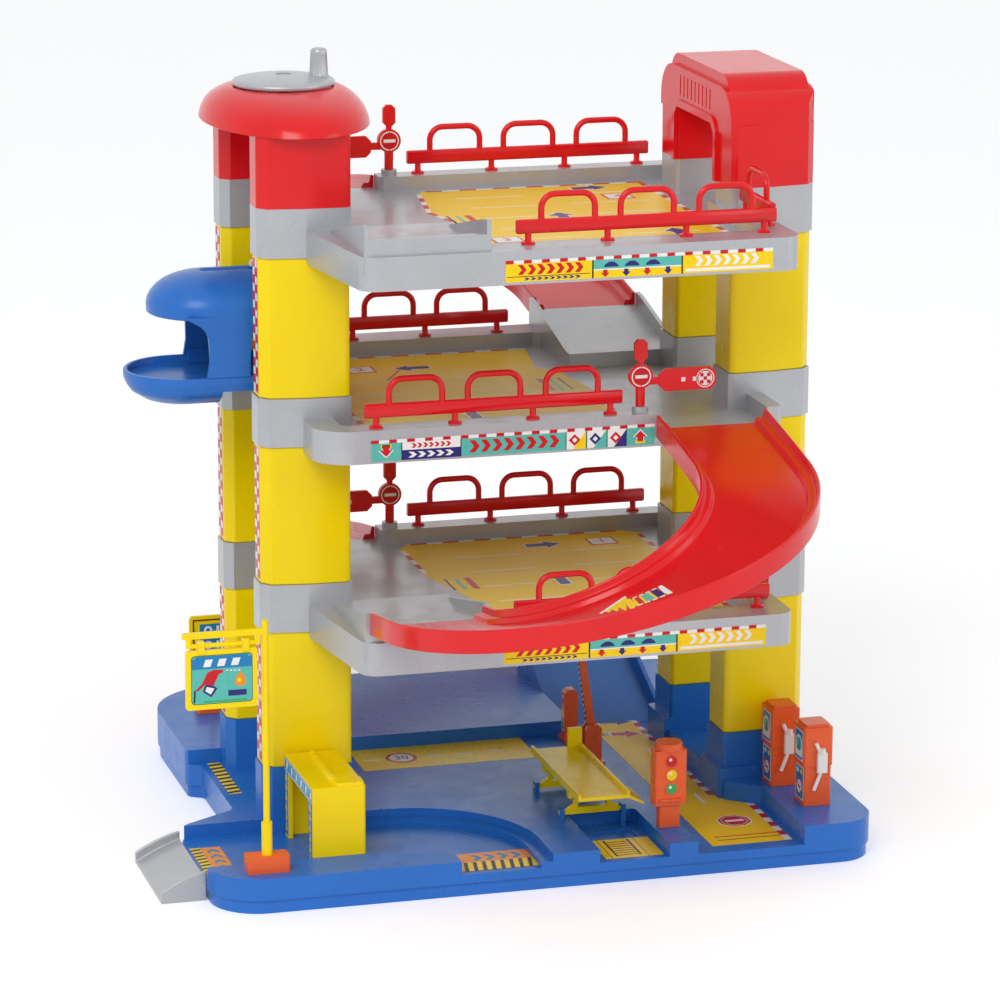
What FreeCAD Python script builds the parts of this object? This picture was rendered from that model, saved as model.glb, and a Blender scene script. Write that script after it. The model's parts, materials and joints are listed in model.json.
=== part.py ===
"""Toy parking garage with a hand-cranked car lift.

Millimetres, +Z up, +X to the right along the front, +Y to the back. The origin is on the ground under the
vertical axis about which the middle deck is turned half a turn against the other two.
"""
import FreeCAD, Part
import Sketcher

import math
import os

from FreeCAD import Placement, Rotation, Vector

doc = FreeCAD.newDocument("ParkingGarage")
sheet = doc.addObject("Spreadsheet::Sheet", "Sizes")
row_count = 0


class Size:
    """A length that keeps its number and its formula over the sheet."""

    def __init__(self, value, formula):
        self.value = value
        self.formula = formula

    def __float__(self):
        return float(self.value)

    def __add__(self, other):
        return Size(float(self) + float(other), f"({self.formula} + {formula_of(other)})")

    def __sub__(self, other):
        return Size(float(self) - float(other), f"({self.formula} - {formula_of(other)})")

    def __mul__(self, other):
        return Size(float(self) * float(other), f"({self.formula} * {formula_of(other)})")

    def __truediv__(self, other):
        return Size(float(self) / float(other), f"({self.formula} / {formula_of(other)})")

    def __radd__(self, other):
        return Size(other + float(self), f"({other} + {self.formula})")

    def __rsub__(self, other):
        return Size(other - float(self), f"({other} - {self.formula})")

    def __rmul__(self, other):
        return Size(other * float(self), f"({other} * {self.formula})")

    def __neg__(self):
        return Size(-float(self), f"(-1 * {self.formula})")

    def __lt__(self, other):
        return float(self) < float(other)


def formula_of(value):
    return value.formula if isinstance(value, Size) else repr(value)


def size(alias, number):
    """Adds one driving dimension to the sheet and returns it."""
    global row_count
    row_count += 1
    sheet.set(f"A{row_count}", alias)
    sheet.set(f"B{row_count}", str(number))
    sheet.setAlias(f"B{row_count}", alias)
    return Size(number, f"Sizes.{alias}")


# Storeys
LEVEL_RISE = size("level_rise", 126)
DECK_LOW = size("deck_low", 150)
DECK_HEIGHT = size("deck_height", 22)
DECK_FLOOR = size("deck_floor_rise", 12)
PLATE = size("plate_thickness", 2.5)
WALL = size("moulded_wall", 3)
LEVELS = 3

# Column section, measured outwards from the tower's axis
COLUMN_IN = size("column_inner_end", 131)
COLUMN_OUT = size("column_outer_end", 190)
COLUMN_NEAR = size("column_near_face", 42)
COLUMN_FAR = size("column_far_face", 76)
COLUMN_WALL = size("column_wall", 2)
COLUMN_TAPER = size("column_face_taper", 5)
COLUMN_BEVEL = size("column_bevel", 6)
RIDGE = size("guide_ridge", 1.2)
COLLAR_GROW = size("collar_step", 1)
COLLAR_LOW = size("collar_below_floor", 8.5)
COLLAR_HIGH = size("collar_above_floor", 24)
FOOT_TOP = size("foot_top", 60)
FOOT_STEP = size("foot_step", 5)
FOOT_STEP_TOP = size("foot_step_top", 36)

# Deck outline
DECK_FRONT = size("deck_front", 177)
DECK_REAR = size("deck_rear", 118)
DECK_RIGHT = size("deck_right", 145)
DECK_LEFT = size("deck_left", 147)
DECK_LOBE = size("deck_lobe", 160)
DECK_BACK_RIGHT = size("deck_back_right", 163)
DECK_BACK_LEFT = size("deck_back_left", 154)
SILL = size("lift_sill", 158)
RIM_FRONT = size("rim_front", 28)
RIM_REAR = size("rim_rear", 18)
RIM_SIDE = size("rim_side", 20)
LANE_IN = size("lane_inner_edge", 66)
LANE_WIDTH = size("lane_width", 77)
CHANNEL_RISE = size("channel_rise", 21)
CHANNEL_LENGTH = size("channel_length", 102)
CHANNEL_WALL = size("channel_wall_rise", 9)
DECK_CORNER = size("deck_corner", 12)
BACK_CORNER = size("deck_back_corner", 25)

# Base tray
LANE_FLOOR = size("base_lane_floor", 15)
MAIN_TOP = size("base_main_top", 24)
ISLAND_TOP = size("base_island_top", 28)
PLATFORM_TOP = size("base_platform_top", 34)
BASE_FRONT = size("base_front", 190)
BASE_REAR = size("base_rear", 215)
BASE_RIGHT = size("base_right", 203)
BASE_LOBE = size("base_left_lobe", 248)
LANDING_X = size("base_landing_edge", 206)
WASH_LEFT = size("wash_left", 178)
WASH_RIGHT = size("wash_right", 142)
WASH_FRONT = size("wash_front", 156.7)
WASH_HEIGHT = size("wash_height", 56)
PLINTH = size("plinth_height", 9)
PLINTH_STEP = size("plinth_step", 1.5)

# Ramps
RAMP_TURN = size("ramp_turn_radius", 104.5)
RAMP_WALL = size("ramp_wall", 2.5)
RAMP_SIDE = size("ramp_side_rise", 9)
RAMP_SKIRT = size("ramp_side_drop", 6)
RAMP_STRAIGHT = size("ramp_straight_end", 200)
RAMP_KERB = size("ramp_kerb_width", 5)
RAMP_KERB_RISE = size("ramp_kerb_rise", 3.5)

# Rails
RAIL_FOOT = size("rail_foot_height", 7)
RAIL_BAR = size("rail_bar_height", 9)
RAIL_TOP = size("rail_loop_top", 34)
RAIL_TUBE = size("rail_tube", 4.4)
RAIL_PITCH = size("rail_foot_pitch", 53)
RAIL_SHORT_PITCH = size("rail_short_pitch", 46)
RAIL_LOOP = size("rail_loop_width", 40)

# Lift
LIFT_LEFT = size("lift_left_end", 267)
LIFT_RIGHT = size("lift_right_end", 160)
LIFT_HALF = size("lift_half_width", 40)
LIFT_FLOOR = size("lift_floor", 315)
LIFT_RIM = size("lift_rim_rise", 6)
BOWL_DEPTH = size("lift_bowl_depth", 14)
CANOPY_LOW = size("canopy_low", 359)
CANOPY_LEFT = size("canopy_left_end", 251)
CANOPY_TOP = size("canopy_top", 386)
RING_RADIUS = size("ring_radius", 3.3)
RING_RISE = size("ring_centre_above_canopy", 2.5)
CORD_X = size("cord_place", 178)
CORD_RADIUS = size("cord_radius", 0.9)
DRUM_RADIUS = size("drum_radius", 20)
CAP_X = size("cap_centre", 157)
CAP_SEMI_X = size("cap_half_length", 54.5)
CAP_SEMI_Y = size("cap_half_width", 87)
BRIM_LOW = size("cap_brim_low", 485)
BRIM_HIGH = size("cap_brim_high", 491)
BRIDGE_TOP = size("cap_bridge_top", 493)
DOME_TOP = size("cap_dome_top", 507.5)
DISC_RADIUS = size("crank_disc_radius", 34)
DISC_THICK = size("crank_disc_thickness", 7)
KNOB_OFFSET = size("crank_knob_offset", 24)
KNOB_TOP = size("crank_knob_top", 531)
SHAFT = size("shaft_radius", 4)
RUNNING = size("running_clearance", 0.05)
CLEAR = size("moving_clearance", 0.3)

# Portal
PORTAL_OPEN = size("portal_opening_top", 476)
PORTAL_TOP = size("portal_top", 511)
PORTAL_ROUND = size("portal_shoulder", 24)

# Small pivots
PIN = size("pin_radius", 1.5)
SIGN_PIN = size("sign_pin_radius", 2.5)


def collar_low(level):
    """Underside of the collars of a deck, and top of the sleeves below it."""
    return DECK_LOW + LEVEL_RISE * (level - 1) + DECK_FLOOR - COLLAR_LOW


def collar_high(level):
    return DECK_LOW + LEVEL_RISE * (level - 1) + DECK_FLOOR + COLLAR_HIGH


def deck_low(level):
    return DECK_LOW + LEVEL_RISE * (level - 1)


# Corners of a smaller radius are cut straight, over this share of the round's reach
ARC_FROM = 10
BEVEL_SHARE = 0.6


# Plain geometry helpers
def vec(x, y, z=0.0):
    return Vector(float(x), float(y), float(z))


def rounded_wire(points, radii, z=0.0):
    """Closed outline through the points, with an arc or a small bevel of the given radius at each corner."""
    corners = [vec(x, y, z) for x, y in points]
    entries = []
    for index, corner in enumerate(corners):
        radius = float(radii[index])
        if radius == 0:
            entries.append((corner, None, corner))
            continue
        back = (corners[index - 1] - corner).normalize()
        ahead = (corners[(index + 1) % len(corners)] - corner).normalize()
        half = back.getAngle(ahead) / 2
        reach = radius / math.tan(half)
        centre = corner + (back + ahead).normalize() * (radius / math.sin(half))
        middle = centre + (corner - centre).normalize() * radius
        if radius < ARC_FROM:
            middle = None
            reach *= BEVEL_SHARE
        entries.append((corner + back * reach, middle, corner + ahead * reach))
    edges = []
    for index, (start, middle, end) in enumerate(entries):
        before = entries[index - 1][2]
        if before.distanceToPoint(start) > 1e-6:
            edges.append(Part.LineSegment(before, start).toShape())
        if middle is not None:
            edges.append(Part.Arc(start, middle, end).toShape())
        elif start.distanceToPoint(end) > 1e-6:
            edges.append(Part.LineSegment(start, end).toShape())
    return Part.Wire(edges)


def prism(points, radii, low, high):
    """Upright prism over a rounded outline; one radius serves every corner."""
    if not isinstance(radii, (list, tuple)):
        radii = [radii] * len(points)
    face = Part.Face(rounded_wire(points, radii, float(low)))
    return face.extrude(vec(0, 0, float(high) - float(low)))


def inset_prism(points, radii, inset, low, high):
    """The same prism drawn in by an inset all round."""
    if not isinstance(radii, (list, tuple)):
        radii = [radii] * len(points)
    face = Part.Face(rounded_wire(points, radii, float(low)))
    inner = face.makeOffset2D(-float(inset))
    return inner.extrude(vec(0, 0, float(high) - float(low)))


def block(x, y, z, radius=0):
    """Box given by its low and high X, Y and Z, with rounded upright edges."""
    points = [(x[0], y[0]), (x[1], y[0]), (x[1], y[1]), (x[0], y[1])]
    return prism(points, radius, z[0], z[1])


def rod(radius, start, end):
    axis = end - start
    return Part.makeCylinder(float(radius), axis.Length, start, axis)


def polygon(radius, z, sides):
    """Corners of a level polygon about the Z axis."""
    angles = [2 * math.pi * index / sides for index in range(sides)]
    return [Vector(float(radius) * math.cos(angle), float(radius) * math.sin(angle), z) for angle in angles]


def bar(radius, start, end, sides=12):
    """Rod with narrow flats all round, for what doesn't turn."""
    axis = end - start
    corners = polygon(radius, 0, sides)
    solid = Part.Face(Part.makePolygon(corners + corners[:1])).extrude(Vector(0, 0, axis.Length))
    solid.Placement = Placement(start, Rotation(Vector(0, 0, 1), axis))
    return solid


def side_prism(points, radii, x_low, x_high):
    """Prism along X over an outline given in Y and Z."""
    flat = prism(points, radii, 0, float(x_high) - float(x_low))
    flat.Placement = Placement(vec(x_low, 0, 0), Rotation(Vector(1, 1, 1), 120))
    return flat


def front_prism(points, radii, y_front, y_back):
    """Prism along Y over an outline given in X and Z."""
    flat = prism(points, radii, 0, float(y_back) - float(y_front))
    flat.Placement = Placement(vec(0, y_back, 0), Rotation(Vector(1, 0, 0), 90))
    return flat


def union(shapes):
    return shapes[0].multiFuse(shapes[1:]).removeSplitter() if len(shapes) > 1 else shapes[0]


def turned(shape, half_turns, lift=0):
    """A copy turned about the tower axis by half turns and raised."""
    copy = shape.copy()
    copy.Placement = Placement(vec(0, 0, lift), Rotation(Vector(0, 0, 1), 180 * half_turns)).multiply(copy.Placement)
    return copy


# Document helpers
subparts = []


def keep(label, shape):
    """Adds a free-form sub-part to the document."""
    item = doc.addObject("Part::Feature", label)
    item.Label = label
    item.Shape = shape
    subparts.append(item)
    return item


def keep_object(item, label):
    """Marks a parametric object as a finished sub-part."""
    item.Label = label
    subparts.append(item)
    return item


def place(item, x, y, z):
    for axis, value in zip("xyz", (x, y, z)):
        item.setExpression(f"Placement.Base.{axis}", formula_of(value))


def bound_box(name, x, y, z):
    """Box between low and high values, with every size bound to the sheet."""
    item = doc.addObject("Part::Box", name)
    item.setExpression("Length", formula_of(x[1] - x[0]))
    item.setExpression("Width", formula_of(y[1] - y[0]))
    item.setExpression("Height", formula_of(z[1] - z[0]))
    place(item, x[0], y[0], z[0])
    return item


def bound_cylinder(name, radius, height, x, y, z):
    item = doc.addObject("Part::Cylinder", name)
    item.setExpression("Radius", formula_of(radius))
    item.setExpression("Height", formula_of(height))
    place(item, x, y, z)
    return item


def bound_cone(name, low_radius, high_radius, height, x, y, z):
    item = doc.addObject("Part::Cone", name)
    item.setExpression("Radius1", formula_of(low_radius))
    item.setExpression("Radius2", formula_of(high_radius))
    item.setExpression("Height", formula_of(height))
    place(item, x, y, z)
    return item


def fused(name, items):
    item = doc.addObject("Part::MultiFuse", name)
    item.Shapes = items
    item.Refine = True
    return item


def cut(name, base, tool):
    item = doc.addObject("Part::Cut", name)
    item.Base = base
    item.Tool = tool
    item.Refine = True
    return item


def sketch_on_base(body, name, outline):
    """Closed sketch on the body's ground plane, every corner held by two bound distances."""
    plane = [item for item in body.Origin.OriginFeatures if item.Role == "XY_Plane"][0]
    sketch = body.newObject("Sketcher::SketchObject", name)
    sketch.AttachmentSupport = [(plane, "")]
    sketch.MapMode = "FlatFace"
    count = len(outline)
    for index in range(count):
        start, end = outline[index], outline[(index + 1) % count]
        sketch.addGeometry(Part.LineSegment(vec(*start), vec(*end)), False)
    for index in range(count):
        sketch.addConstraint(Sketcher.Constraint("Coincident", index, 2, (index + 1) % count, 1))
    for index, corner in enumerate(outline):
        for kind, value in zip(("DistanceX", "DistanceY"), corner):
            at_corner = (-1, 1, index, 1) if float(value) >= 0 else (index, 1, -1, 1)
            number = sketch.addConstraint(Sketcher.Constraint(kind, *at_corner, abs(float(value))))
            formula = formula_of(value) if float(value) >= 0 else f"-1 * {formula_of(value)}"
            sketch.setExpression(f"Constraints[{number}]", formula)
    return sketch


# Columns
CORNERS = {"front_left": (-1, -1), "rear_left": (-1, 1), "front_right": (1, -1), "rear_right": (1, 1)}


def column_outline(side_x, side_y, grow):
    """Column section: long outer face drawn in towards the outer end, bevelled corners."""
    inner, outer = COLUMN_IN - grow, COLUMN_OUT + grow
    near, far = COLUMN_NEAR - grow, COLUMN_FAR + grow
    middle = (COLUMN_IN + COLUMN_OUT) / 2
    points = [
        (inner, near + COLUMN_WALL), (inner + COLUMN_WALL, near), (outer - COLUMN_BEVEL, near),
        (outer, near + COLUMN_BEVEL), (outer, far - COLUMN_BEVEL * 2), (outer - COLUMN_BEVEL, far - COLUMN_TAPER),
        (middle, far - 1), (inner + COLUMN_WALL * 2, far), (inner, far - COLUMN_WALL),
    ]
    return [(x * side_x, y * side_y) for x, y in points]


def column_prism(side, grow, low, high):
    return prism(column_outline(*side, grow), 0, low, high)


def column_bore(side, low, high):
    return prism(column_outline(*side, -COLUMN_WALL), 0, low, high)


def ridges(side, low, high):
    """Two upright guide ridges on the face that looks into the lift gap."""
    ribs = []
    for share in (0.72, 0.86):
        x = COLUMN_IN + (COLUMN_OUT - COLUMN_IN) * share
        points = [(x, COLUMN_NEAR - RIDGE), (x + 3, COLUMN_NEAR - RIDGE), (x + 4, COLUMN_NEAR), (x - 1, COLUMN_NEAR)]
        ribs.append(prism([(u * side[0], v * side[1]) for u, v in points], 0, low, high))
    return ribs


def make_sleeve(corner, level):
    """Yellow tube between two collars, or between a foot and the first collar."""
    side = CORNERS[corner]
    low = FOOT_TOP if level == 1 else collar_high(level - 1)
    height = collar_low(level) - low
    label = f"sleeve_{corner}_{level}"
    body = doc.addObject("PartDesign::Body", label)
    outer = sketch_on_base(body, f"{label}_outer", column_outline(*side, 0))
    pad = body.newObject("PartDesign::Pad", f"{label}_pad")
    pad.Profile = outer
    pad.setExpression("Length", formula_of(height))
    inner = sketch_on_base(body, f"{label}_inner", column_outline(*side, -COLUMN_WALL))
    doc.recompute()
    full = pad.Shape.Volume
    pocket = body.newObject("PartDesign::Pocket", f"{label}_bore")
    pocket.Profile = inner
    pocket.Type = "ThroughAll"
    pocket.Midplane = True
    doc.recompute()
    if pocket.Shape.Volume > 0.5 * full:
        raise RuntimeError(f"{label}: the bore cut nothing")
    place(body, 0, 0, low)
    keep_object(body, label)


# Decks
def deck_outline():
    return [
        (-DECK_LEFT, -DECK_FRONT), (DECK_RIGHT, -DECK_FRONT), (DECK_RIGHT, -COLUMN_FAR + 10),
        (SILL, -COLUMN_NEAR - 8), (SILL, COLUMN_NEAR + 8), (DECK_BACK_RIGHT, COLUMN_FAR - 10),
        (DECK_BACK_RIGHT, DECK_REAR), (-DECK_BACK_LEFT, DECK_REAR), (-DECK_BACK_LEFT, COLUMN_FAR - 10),
        (-SILL, COLUMN_NEAR + 8), (-SILL, -COLUMN_NEAR - 8), (-DECK_LOBE, -COLUMN_FAR + 8),
        (-DECK_LOBE, -COLUMN_FAR - 3),
    ]


def make_deck_shape():
    """Deck moulding with its underside at zero: rim, sunk floor, landing channel and four collars."""
    lane_out = LANE_IN + LANE_WIDTH
    outline = deck_outline()
    corners = [DECK_CORNER, DECK_CORNER, 0, 0, 0, 0, BACK_CORNER, WALL * 2, 0, 0, 0, 0, WALL]
    plate = prism(outline, corners, 0, DECK_HEIGHT)
    front_in = -DECK_FRONT + RIM_FRONT
    rear_in = DECK_REAR - RIM_REAR
    channel_back = -DECK_FRONT + WALL + CHANNEL_LENGTH
    floor = [
        (-LANE_IN + WALL, front_in), (DECK_RIGHT - RIM_SIDE, front_in), (DECK_RIGHT - RIM_SIDE, -COLUMN_NEAR),
        (SILL + 5, -COLUMN_NEAR), (SILL + 5, COLUMN_NEAR), (DECK_BACK_RIGHT - RIM_SIDE, COLUMN_NEAR),
        (DECK_BACK_RIGHT - RIM_SIDE, rear_in), (-LANE_IN, rear_in), (-LANE_IN, DECK_REAR + 5),
        (-lane_out, DECK_REAR + 5), (-lane_out, COLUMN_NEAR), (-SILL - 5, COLUMN_NEAR),
        (-SILL - 5, -COLUMN_NEAR), (-lane_out, -COLUMN_NEAR), (-lane_out, channel_back),
        (-LANE_IN + WALL, channel_back),
    ]
    floor_corners = [8, 8, 0, 0, 0, 0, 8, 4, 0, 0, 0, 0, 0, 0, 0, 0]
    plate = plate.cut(prism(floor, floor_corners, DECK_FLOOR, DECK_HEIGHT + 1))
    plate = plate.cut(inset_prism(outline, corners, WALL, -1, DECK_FLOOR - PLATE))
    rim_hollow = inset_prism(outline, corners, WALL, 0, DECK_HEIGHT - PLATE)
    plate = plate.cut(rim_hollow.cut(inset_prism(floor, floor_corners, -PLATE, -1, DECK_HEIGHT)))
    parts = [plate]
    for x in (-lane_out - WALL, -LANE_IN):
        parts.append(channel_wall(x, channel_back))
    parts.append(channel_bed(-lane_out, -LANE_IN, channel_back))
    for share in (-0.5, 0.0, 0.5):
        x = DECK_RIGHT * share
        parts.append(block((x - 1, x + 1), (-DECK_FRONT + 1, DECK_REAR - 1), (DECK_FLOOR - PLATE - 4, DECK_FLOOR - 1)))
    parts.append(block((-DECK_LEFT + 1, DECK_RIGHT - 1), (-1, 1), (DECK_FLOOR - PLATE - 4, DECK_FLOOR - 1)))
    boss_x = -LANE_IN + SIGN_PIN * 3 + 1
    boss_y = rear_in + RIM_REAR / 2
    boss = Part.makeCylinder(float(SIGN_PIN) * 2.2, 5, vec(boss_x, boss_y, DECK_HEIGHT - 1))
    parts.append(boss)
    shape = union(parts)
    shape = shape.cut(channel_hollow(-lane_out, -LANE_IN, channel_back))
    pin_hole = Part.makeCylinder(float(SIGN_PIN + RUNNING), 12, vec(boss_x, boss_y, DECK_HEIGHT - 6))
    shape = shape.cut(pin_hole)
    for side in CORNERS.values():
        low, high = DECK_FLOOR - COLLAR_LOW, DECK_FLOOR + COLLAR_HIGH
        shape = shape.cut(column_prism(side, 0, -1, low))
        shape = shape.fuse(column_prism(side, COLLAR_GROW, low, high))
    for side in CORNERS.values():
        shape = shape.cut(column_bore(side, -1, DECK_FLOOR + COLLAR_HIGH + 1))
    return shape.removeSplitter()


def channel_wall(x, back):
    """Side wall of a landing channel, falling to the rim towards the middle of the deck."""
    front = -DECK_FRONT + WALL
    top = DECK_FLOOR + CHANNEL_RISE + CHANNEL_WALL
    points = [
        (front, DECK_FLOOR - PLATE), (front, top), (front + 10, top - 1),
        (back - 8, DECK_HEIGHT), (back, DECK_HEIGHT - 2), (back, DECK_FLOOR - PLATE),
    ]
    return side_prism([(float(y), float(z)) for y, z in points], 0, x, x + WALL)


def channel_bed(left, right, back):
    """Sloping floor of a landing channel with its closed end face."""
    front = -DECK_FRONT + WALL
    high = DECK_FLOOR + CHANNEL_RISE
    points = [(front, DECK_FLOOR - PLATE), (front, high), (front + 6, high), (back, DECK_FLOOR), (back, DECK_FLOOR - PLATE)]
    return side_prism([(float(y), float(z)) for y, z in points], 0, left, right)


def channel_hollow(left, right, back):
    """Space under a landing channel, open below like the rest of the moulding."""
    front = -DECK_FRONT + WALL * 2
    high = DECK_FLOOR + CHANNEL_RISE - PLATE
    points = [(front, -1), (front, high), (front + 3, high), (back - 2, DECK_FLOOR - PLATE), (back - 2, -1)]
    return side_prism([(float(y), float(z)) for y, z in points], 0, left, right)


def faceted_loft(sections):
    """Solid through closed polygons with equal point counts, two flat triangles to each patch."""
    faces = [Part.Face(Part.makePolygon(section + section[:1])) for section in (sections[0], sections[-1])]
    count = len(sections[0])
    for near, far in zip(sections, sections[1:]):
        for index in range(count):
            following = (index + 1) % count
            for corners in ((near[index], near[following], far[following]), (near[index], far[following], far[index])):
                faces.append(Part.Face(Part.makePolygon(list(corners) + [corners[0]])))
    solid = Part.Solid(Part.Shell(faces))
    if solid.Volume < 0:
        solid.reverse()
    return solid


# Curved ramps
def ramp_section(centre, heading, z):
    """Channel section of a ramp, square to the heading, z being the road's height."""
    half = float(LANE_WIDTH) / 2
    wall, kerb = float(RAMP_WALL), float(RAMP_KERB)
    side, skirt, plate = float(RAMP_SIDE), float(RAMP_SKIRT), float(PLATE)
    step = float(RAMP_KERB_RISE)
    profile = [
        (-half, -skirt), (-half, side), (-half + wall, side), (-half + wall + 1, step),
        (-half + wall + kerb, step), (-half + wall + kerb + 1, 0), (half - wall - kerb - 1, 0),
        (half - wall - kerb, step), (half - wall - 1, step), (half - wall, side), (half, side),
        (half, -skirt), (half - wall, -skirt), (half - wall, -plate), (-half + wall, -plate), (-half + wall, -skirt),
    ]
    across = Vector(math.cos(heading), math.sin(heading), 0)
    return [centre + across * u + Vector(0, 0, z + w) for u, w in profile]


def ramp_stations(short_leg, turn_steps):
    """Centre points, headings and travelled lengths along the ramp, seen from the front."""
    turn = float(RAMP_TURN)
    start_y, bend_y = -float(DECK_REAR), -float(RAMP_STRAIGHT)
    stations = []
    for share in (0, 0.33, 0.67):
        stations.append((Vector(turn, start_y + (bend_y - start_y) * share, 0), 0.0))
    for index in range(turn_steps + 1):
        angle = math.pi * index / turn_steps
        stations.append((Vector(turn * math.cos(angle), bend_y - turn * math.sin(angle), 0), -angle))
    if short_leg:
        stations.append((Vector(-turn, -float(DECK_FRONT) + float(WALL), 0), -math.pi))
    lengths = [0.0]
    for (before, _), (after, _) in zip(stations, stations[1:]):
        lengths.append(lengths[-1] + before.distanceToPoint(after))
    return stations, lengths


def make_ramp_shape(start_z, end_z, short_leg, turn_steps=12):
    stations, lengths = ramp_stations(short_leg, turn_steps)
    sections = []
    for (centre, heading), length in zip(stations, lengths):
        share = length / lengths[-1]
        eased = share - 0.35 * math.sin(2 * math.pi * share) / (2 * math.pi)
        z = float(start_z) + (float(end_z) - float(start_z)) * eased
        sections.append(ramp_section(centre, heading, z))
    return faceted_loft(sections)


# Rails
def make_rail_shape(loops, pitch):
    """Rail along X from its first foot at the origin: flanged feet, bar and tube loops."""
    tube = float(RAIL_TUBE)
    span = loops * float(pitch)
    low, high = float(RAIL_FOOT), float(RAIL_FOOT + RAIL_BAR)
    top, loop = float(RAIL_TOP), float(RAIL_LOOP)
    bar = front_prism([(-8, low), (span + 8, low), (span + 8, high), (-8, high)], 0, -tube / 2, tube / 2)
    parts = [bar]
    for index in range(loops):
        x = (index + 0.5) * float(pitch)
        outer = front_prism([(x - loop / 2, high - 1), (x + loop / 2, high - 1), (x + loop / 2, top), (x - loop / 2, top)],
                            [0, 0, 9, 9], -tube / 2, tube / 2)
        inner = front_prism([(x - loop / 2 + tube, high - 2), (x + loop / 2 - tube, high - 2),
                             (x + loop / 2 - tube, top - tube), (x - loop / 2 + tube, top - tube)],
                            [0, 0, 5, 5], -tube, tube)
        parts.append(outer.cut(inner))
    for index in range(loops + 1):
        x = index * float(pitch)
        parts.append(block((x - 2, x + 2), (-tube / 2, tube / 2), (0, low + 1)))
        parts.append(block((x - 5, x + 5), (-3.5, 3.5), (0, 1.6)))
    return union(parts)


def make_rails(rail_shapes, level):
    """Front, rear and side rail of one deck."""
    half_turns = (level + 1) % 2
    top = deck_low(level) + DECK_HEIGHT
    pitch = float(RAIL_PITCH)
    front_y = float(-DECK_FRONT + RIM_FRONT) - 8
    rear_y = float(DECK_REAR) - 8
    right = float(DECK_RIGHT) - 20
    long_rail, short_rail = rail_shapes
    front = long_rail.copy()
    front.Placement = Placement(Vector(right - 3 * pitch, front_y, 0), Rotation())
    rear = long_rail.copy()
    rear.Placement = Placement(Vector(right - 2.5 - 3 * pitch, rear_y, 0), Rotation())
    side = short_rail.copy()
    side.Placement = Placement(Vector(float(DECK_RIGHT) - 9, -134.5, 0), Rotation(Vector(0, 0, 1), 90))
    for name, shape in (("front", front), ("rear", rear), ("side", side)):
        other = {"front": "rear", "rear": "front", "side": "side"}[name]
        label = f"rail_{other if half_turns else name}_{level}"
        keep(label, turned(shape, half_turns, top))


# Swing signs
def make_sign_shape():
    """No-entry sign on its pin, the pin's seat at zero and the arm to -X."""
    pin_low = Part.makeCylinder(float(SIGN_PIN), 8, Vector(0, 0, -5))
    post = bar(3.2, Vector(0, 0, 0.3), Vector(0, 0, 12.3))
    neck = bar(2.2, Vector(0, 0, 3), Vector(0, 0, 36))
    disc = bar(8.2, Vector(0, -2, 20), Vector(0, 2, 20), 24)
    paddle = front_prism([(-4.4, 30), (4.4, 30), (4.4, 45), (-4.4, 45)], 4.2, -1.6, 1.6)
    arm = front_prism([(-52, 9), (-13, 9), (-13, 24), (-52, 24)], 6, -1.6, 1.6)
    link = front_prism([(-16, 14), (0, 14), (0, 19), (-16, 19)], 0, -1.4, 1.4)
    return union([pin_low, post, neck, disc, paddle, arm, link])


# Base tray
def base_outline():
    return [
        (-BASE_LOBE, -BASE_FRONT), (BASE_RIGHT, -BASE_FRONT), (BASE_RIGHT + 3, BASE_REAR), (-LANDING_X - 10, BASE_REAR),
        (-LANDING_X - 10, 62), (-LANDING_X, 56), (-LANDING_X, -44), (-BASE_LOBE, -70),
    ]


BASE_CORNERS = [34, 26, 40, 60, 8, 5, 8, 16]
LANE_RIGHT = COLUMN_IN - 2


def base_regions():
    """Raised areas of the tray as outline, corner radii and top height."""
    light_left, light_right = 56, 76
    exit_right = -24
    wash_back = -COLUMN_FAR - COLLAR_GROW
    central = [
        (-BASE_LOBE - 9, -70), (-WASH_LEFT - 1, -70), (-WASH_LEFT - 1, wash_back), (-WASH_RIGHT + 1, wash_back),
        (-WASH_RIGHT + 1, -70), (exit_right, -70), (exit_right, -BASE_FRONT - 9), (8, -BASE_FRONT - 9), (8, -112),
        (light_left, -112), (light_left, -BASE_FRONT - 9), (light_right, -BASE_FRONT - 9), (light_right, -100),
        (LANE_IN + 2, -84), (LANE_IN + 2, 62), (-LANDING_X - 19, 62),
    ]
    ledge = [
        (-WASH_RIGHT + 2, -78), (exit_right - 8, -78), (exit_right - 8, -BASE_FRONT - 9),
        (exit_right + 1, -BASE_FRONT - 9), (exit_right + 1, -69), (-WASH_RIGHT + 2, -69),
    ]
    front = [(-BASE_LOBE - 9, -BASE_FRONT - 9), (-86, -BASE_FRONT - 9), (-86, -166), (-132, -157), (-BASE_LOBE - 9, -157)]
    island = [(150, -BASE_FRONT - 9), (BASE_RIGHT + 12, -BASE_FRONT - 9), (BASE_RIGHT + 12, BASE_REAR + 9),
              (LANE_IN + LANE_WIDTH + WALL, BASE_REAR + 9), (LANE_IN + LANE_WIDTH + WALL, COLUMN_FAR + 6),
              (LANE_RIGHT, COLUMN_FAR + 2), (LANE_RIGHT, -COLUMN_FAR - 8), (150, -COLUMN_FAR - 26)]
    platform = [(-LANDING_X - 19, 62), (LANE_IN - WALL, 62), (LANE_IN - WALL, BASE_REAR + 9), (-LANDING_X - 19, BASE_REAR + 9)]
    return [
        (central, [0, 0, 0, 0, 0, 86, 6, 6, 4, 4, 6, 6, 6, 0, 4, 0], MAIN_TOP),
        (ledge, [0, 78, 0, 0, 86, 0], LANE_FLOOR + 4),
        (front, [0, 6, 8, 30, 0], MAIN_TOP),
        (island, [6, 0, 0, 0, 0, 0, 0, 8], ISLAND_TOP),
        (platform, [0, 10, 0, 0], PLATFORM_TOP),
    ]


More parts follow.
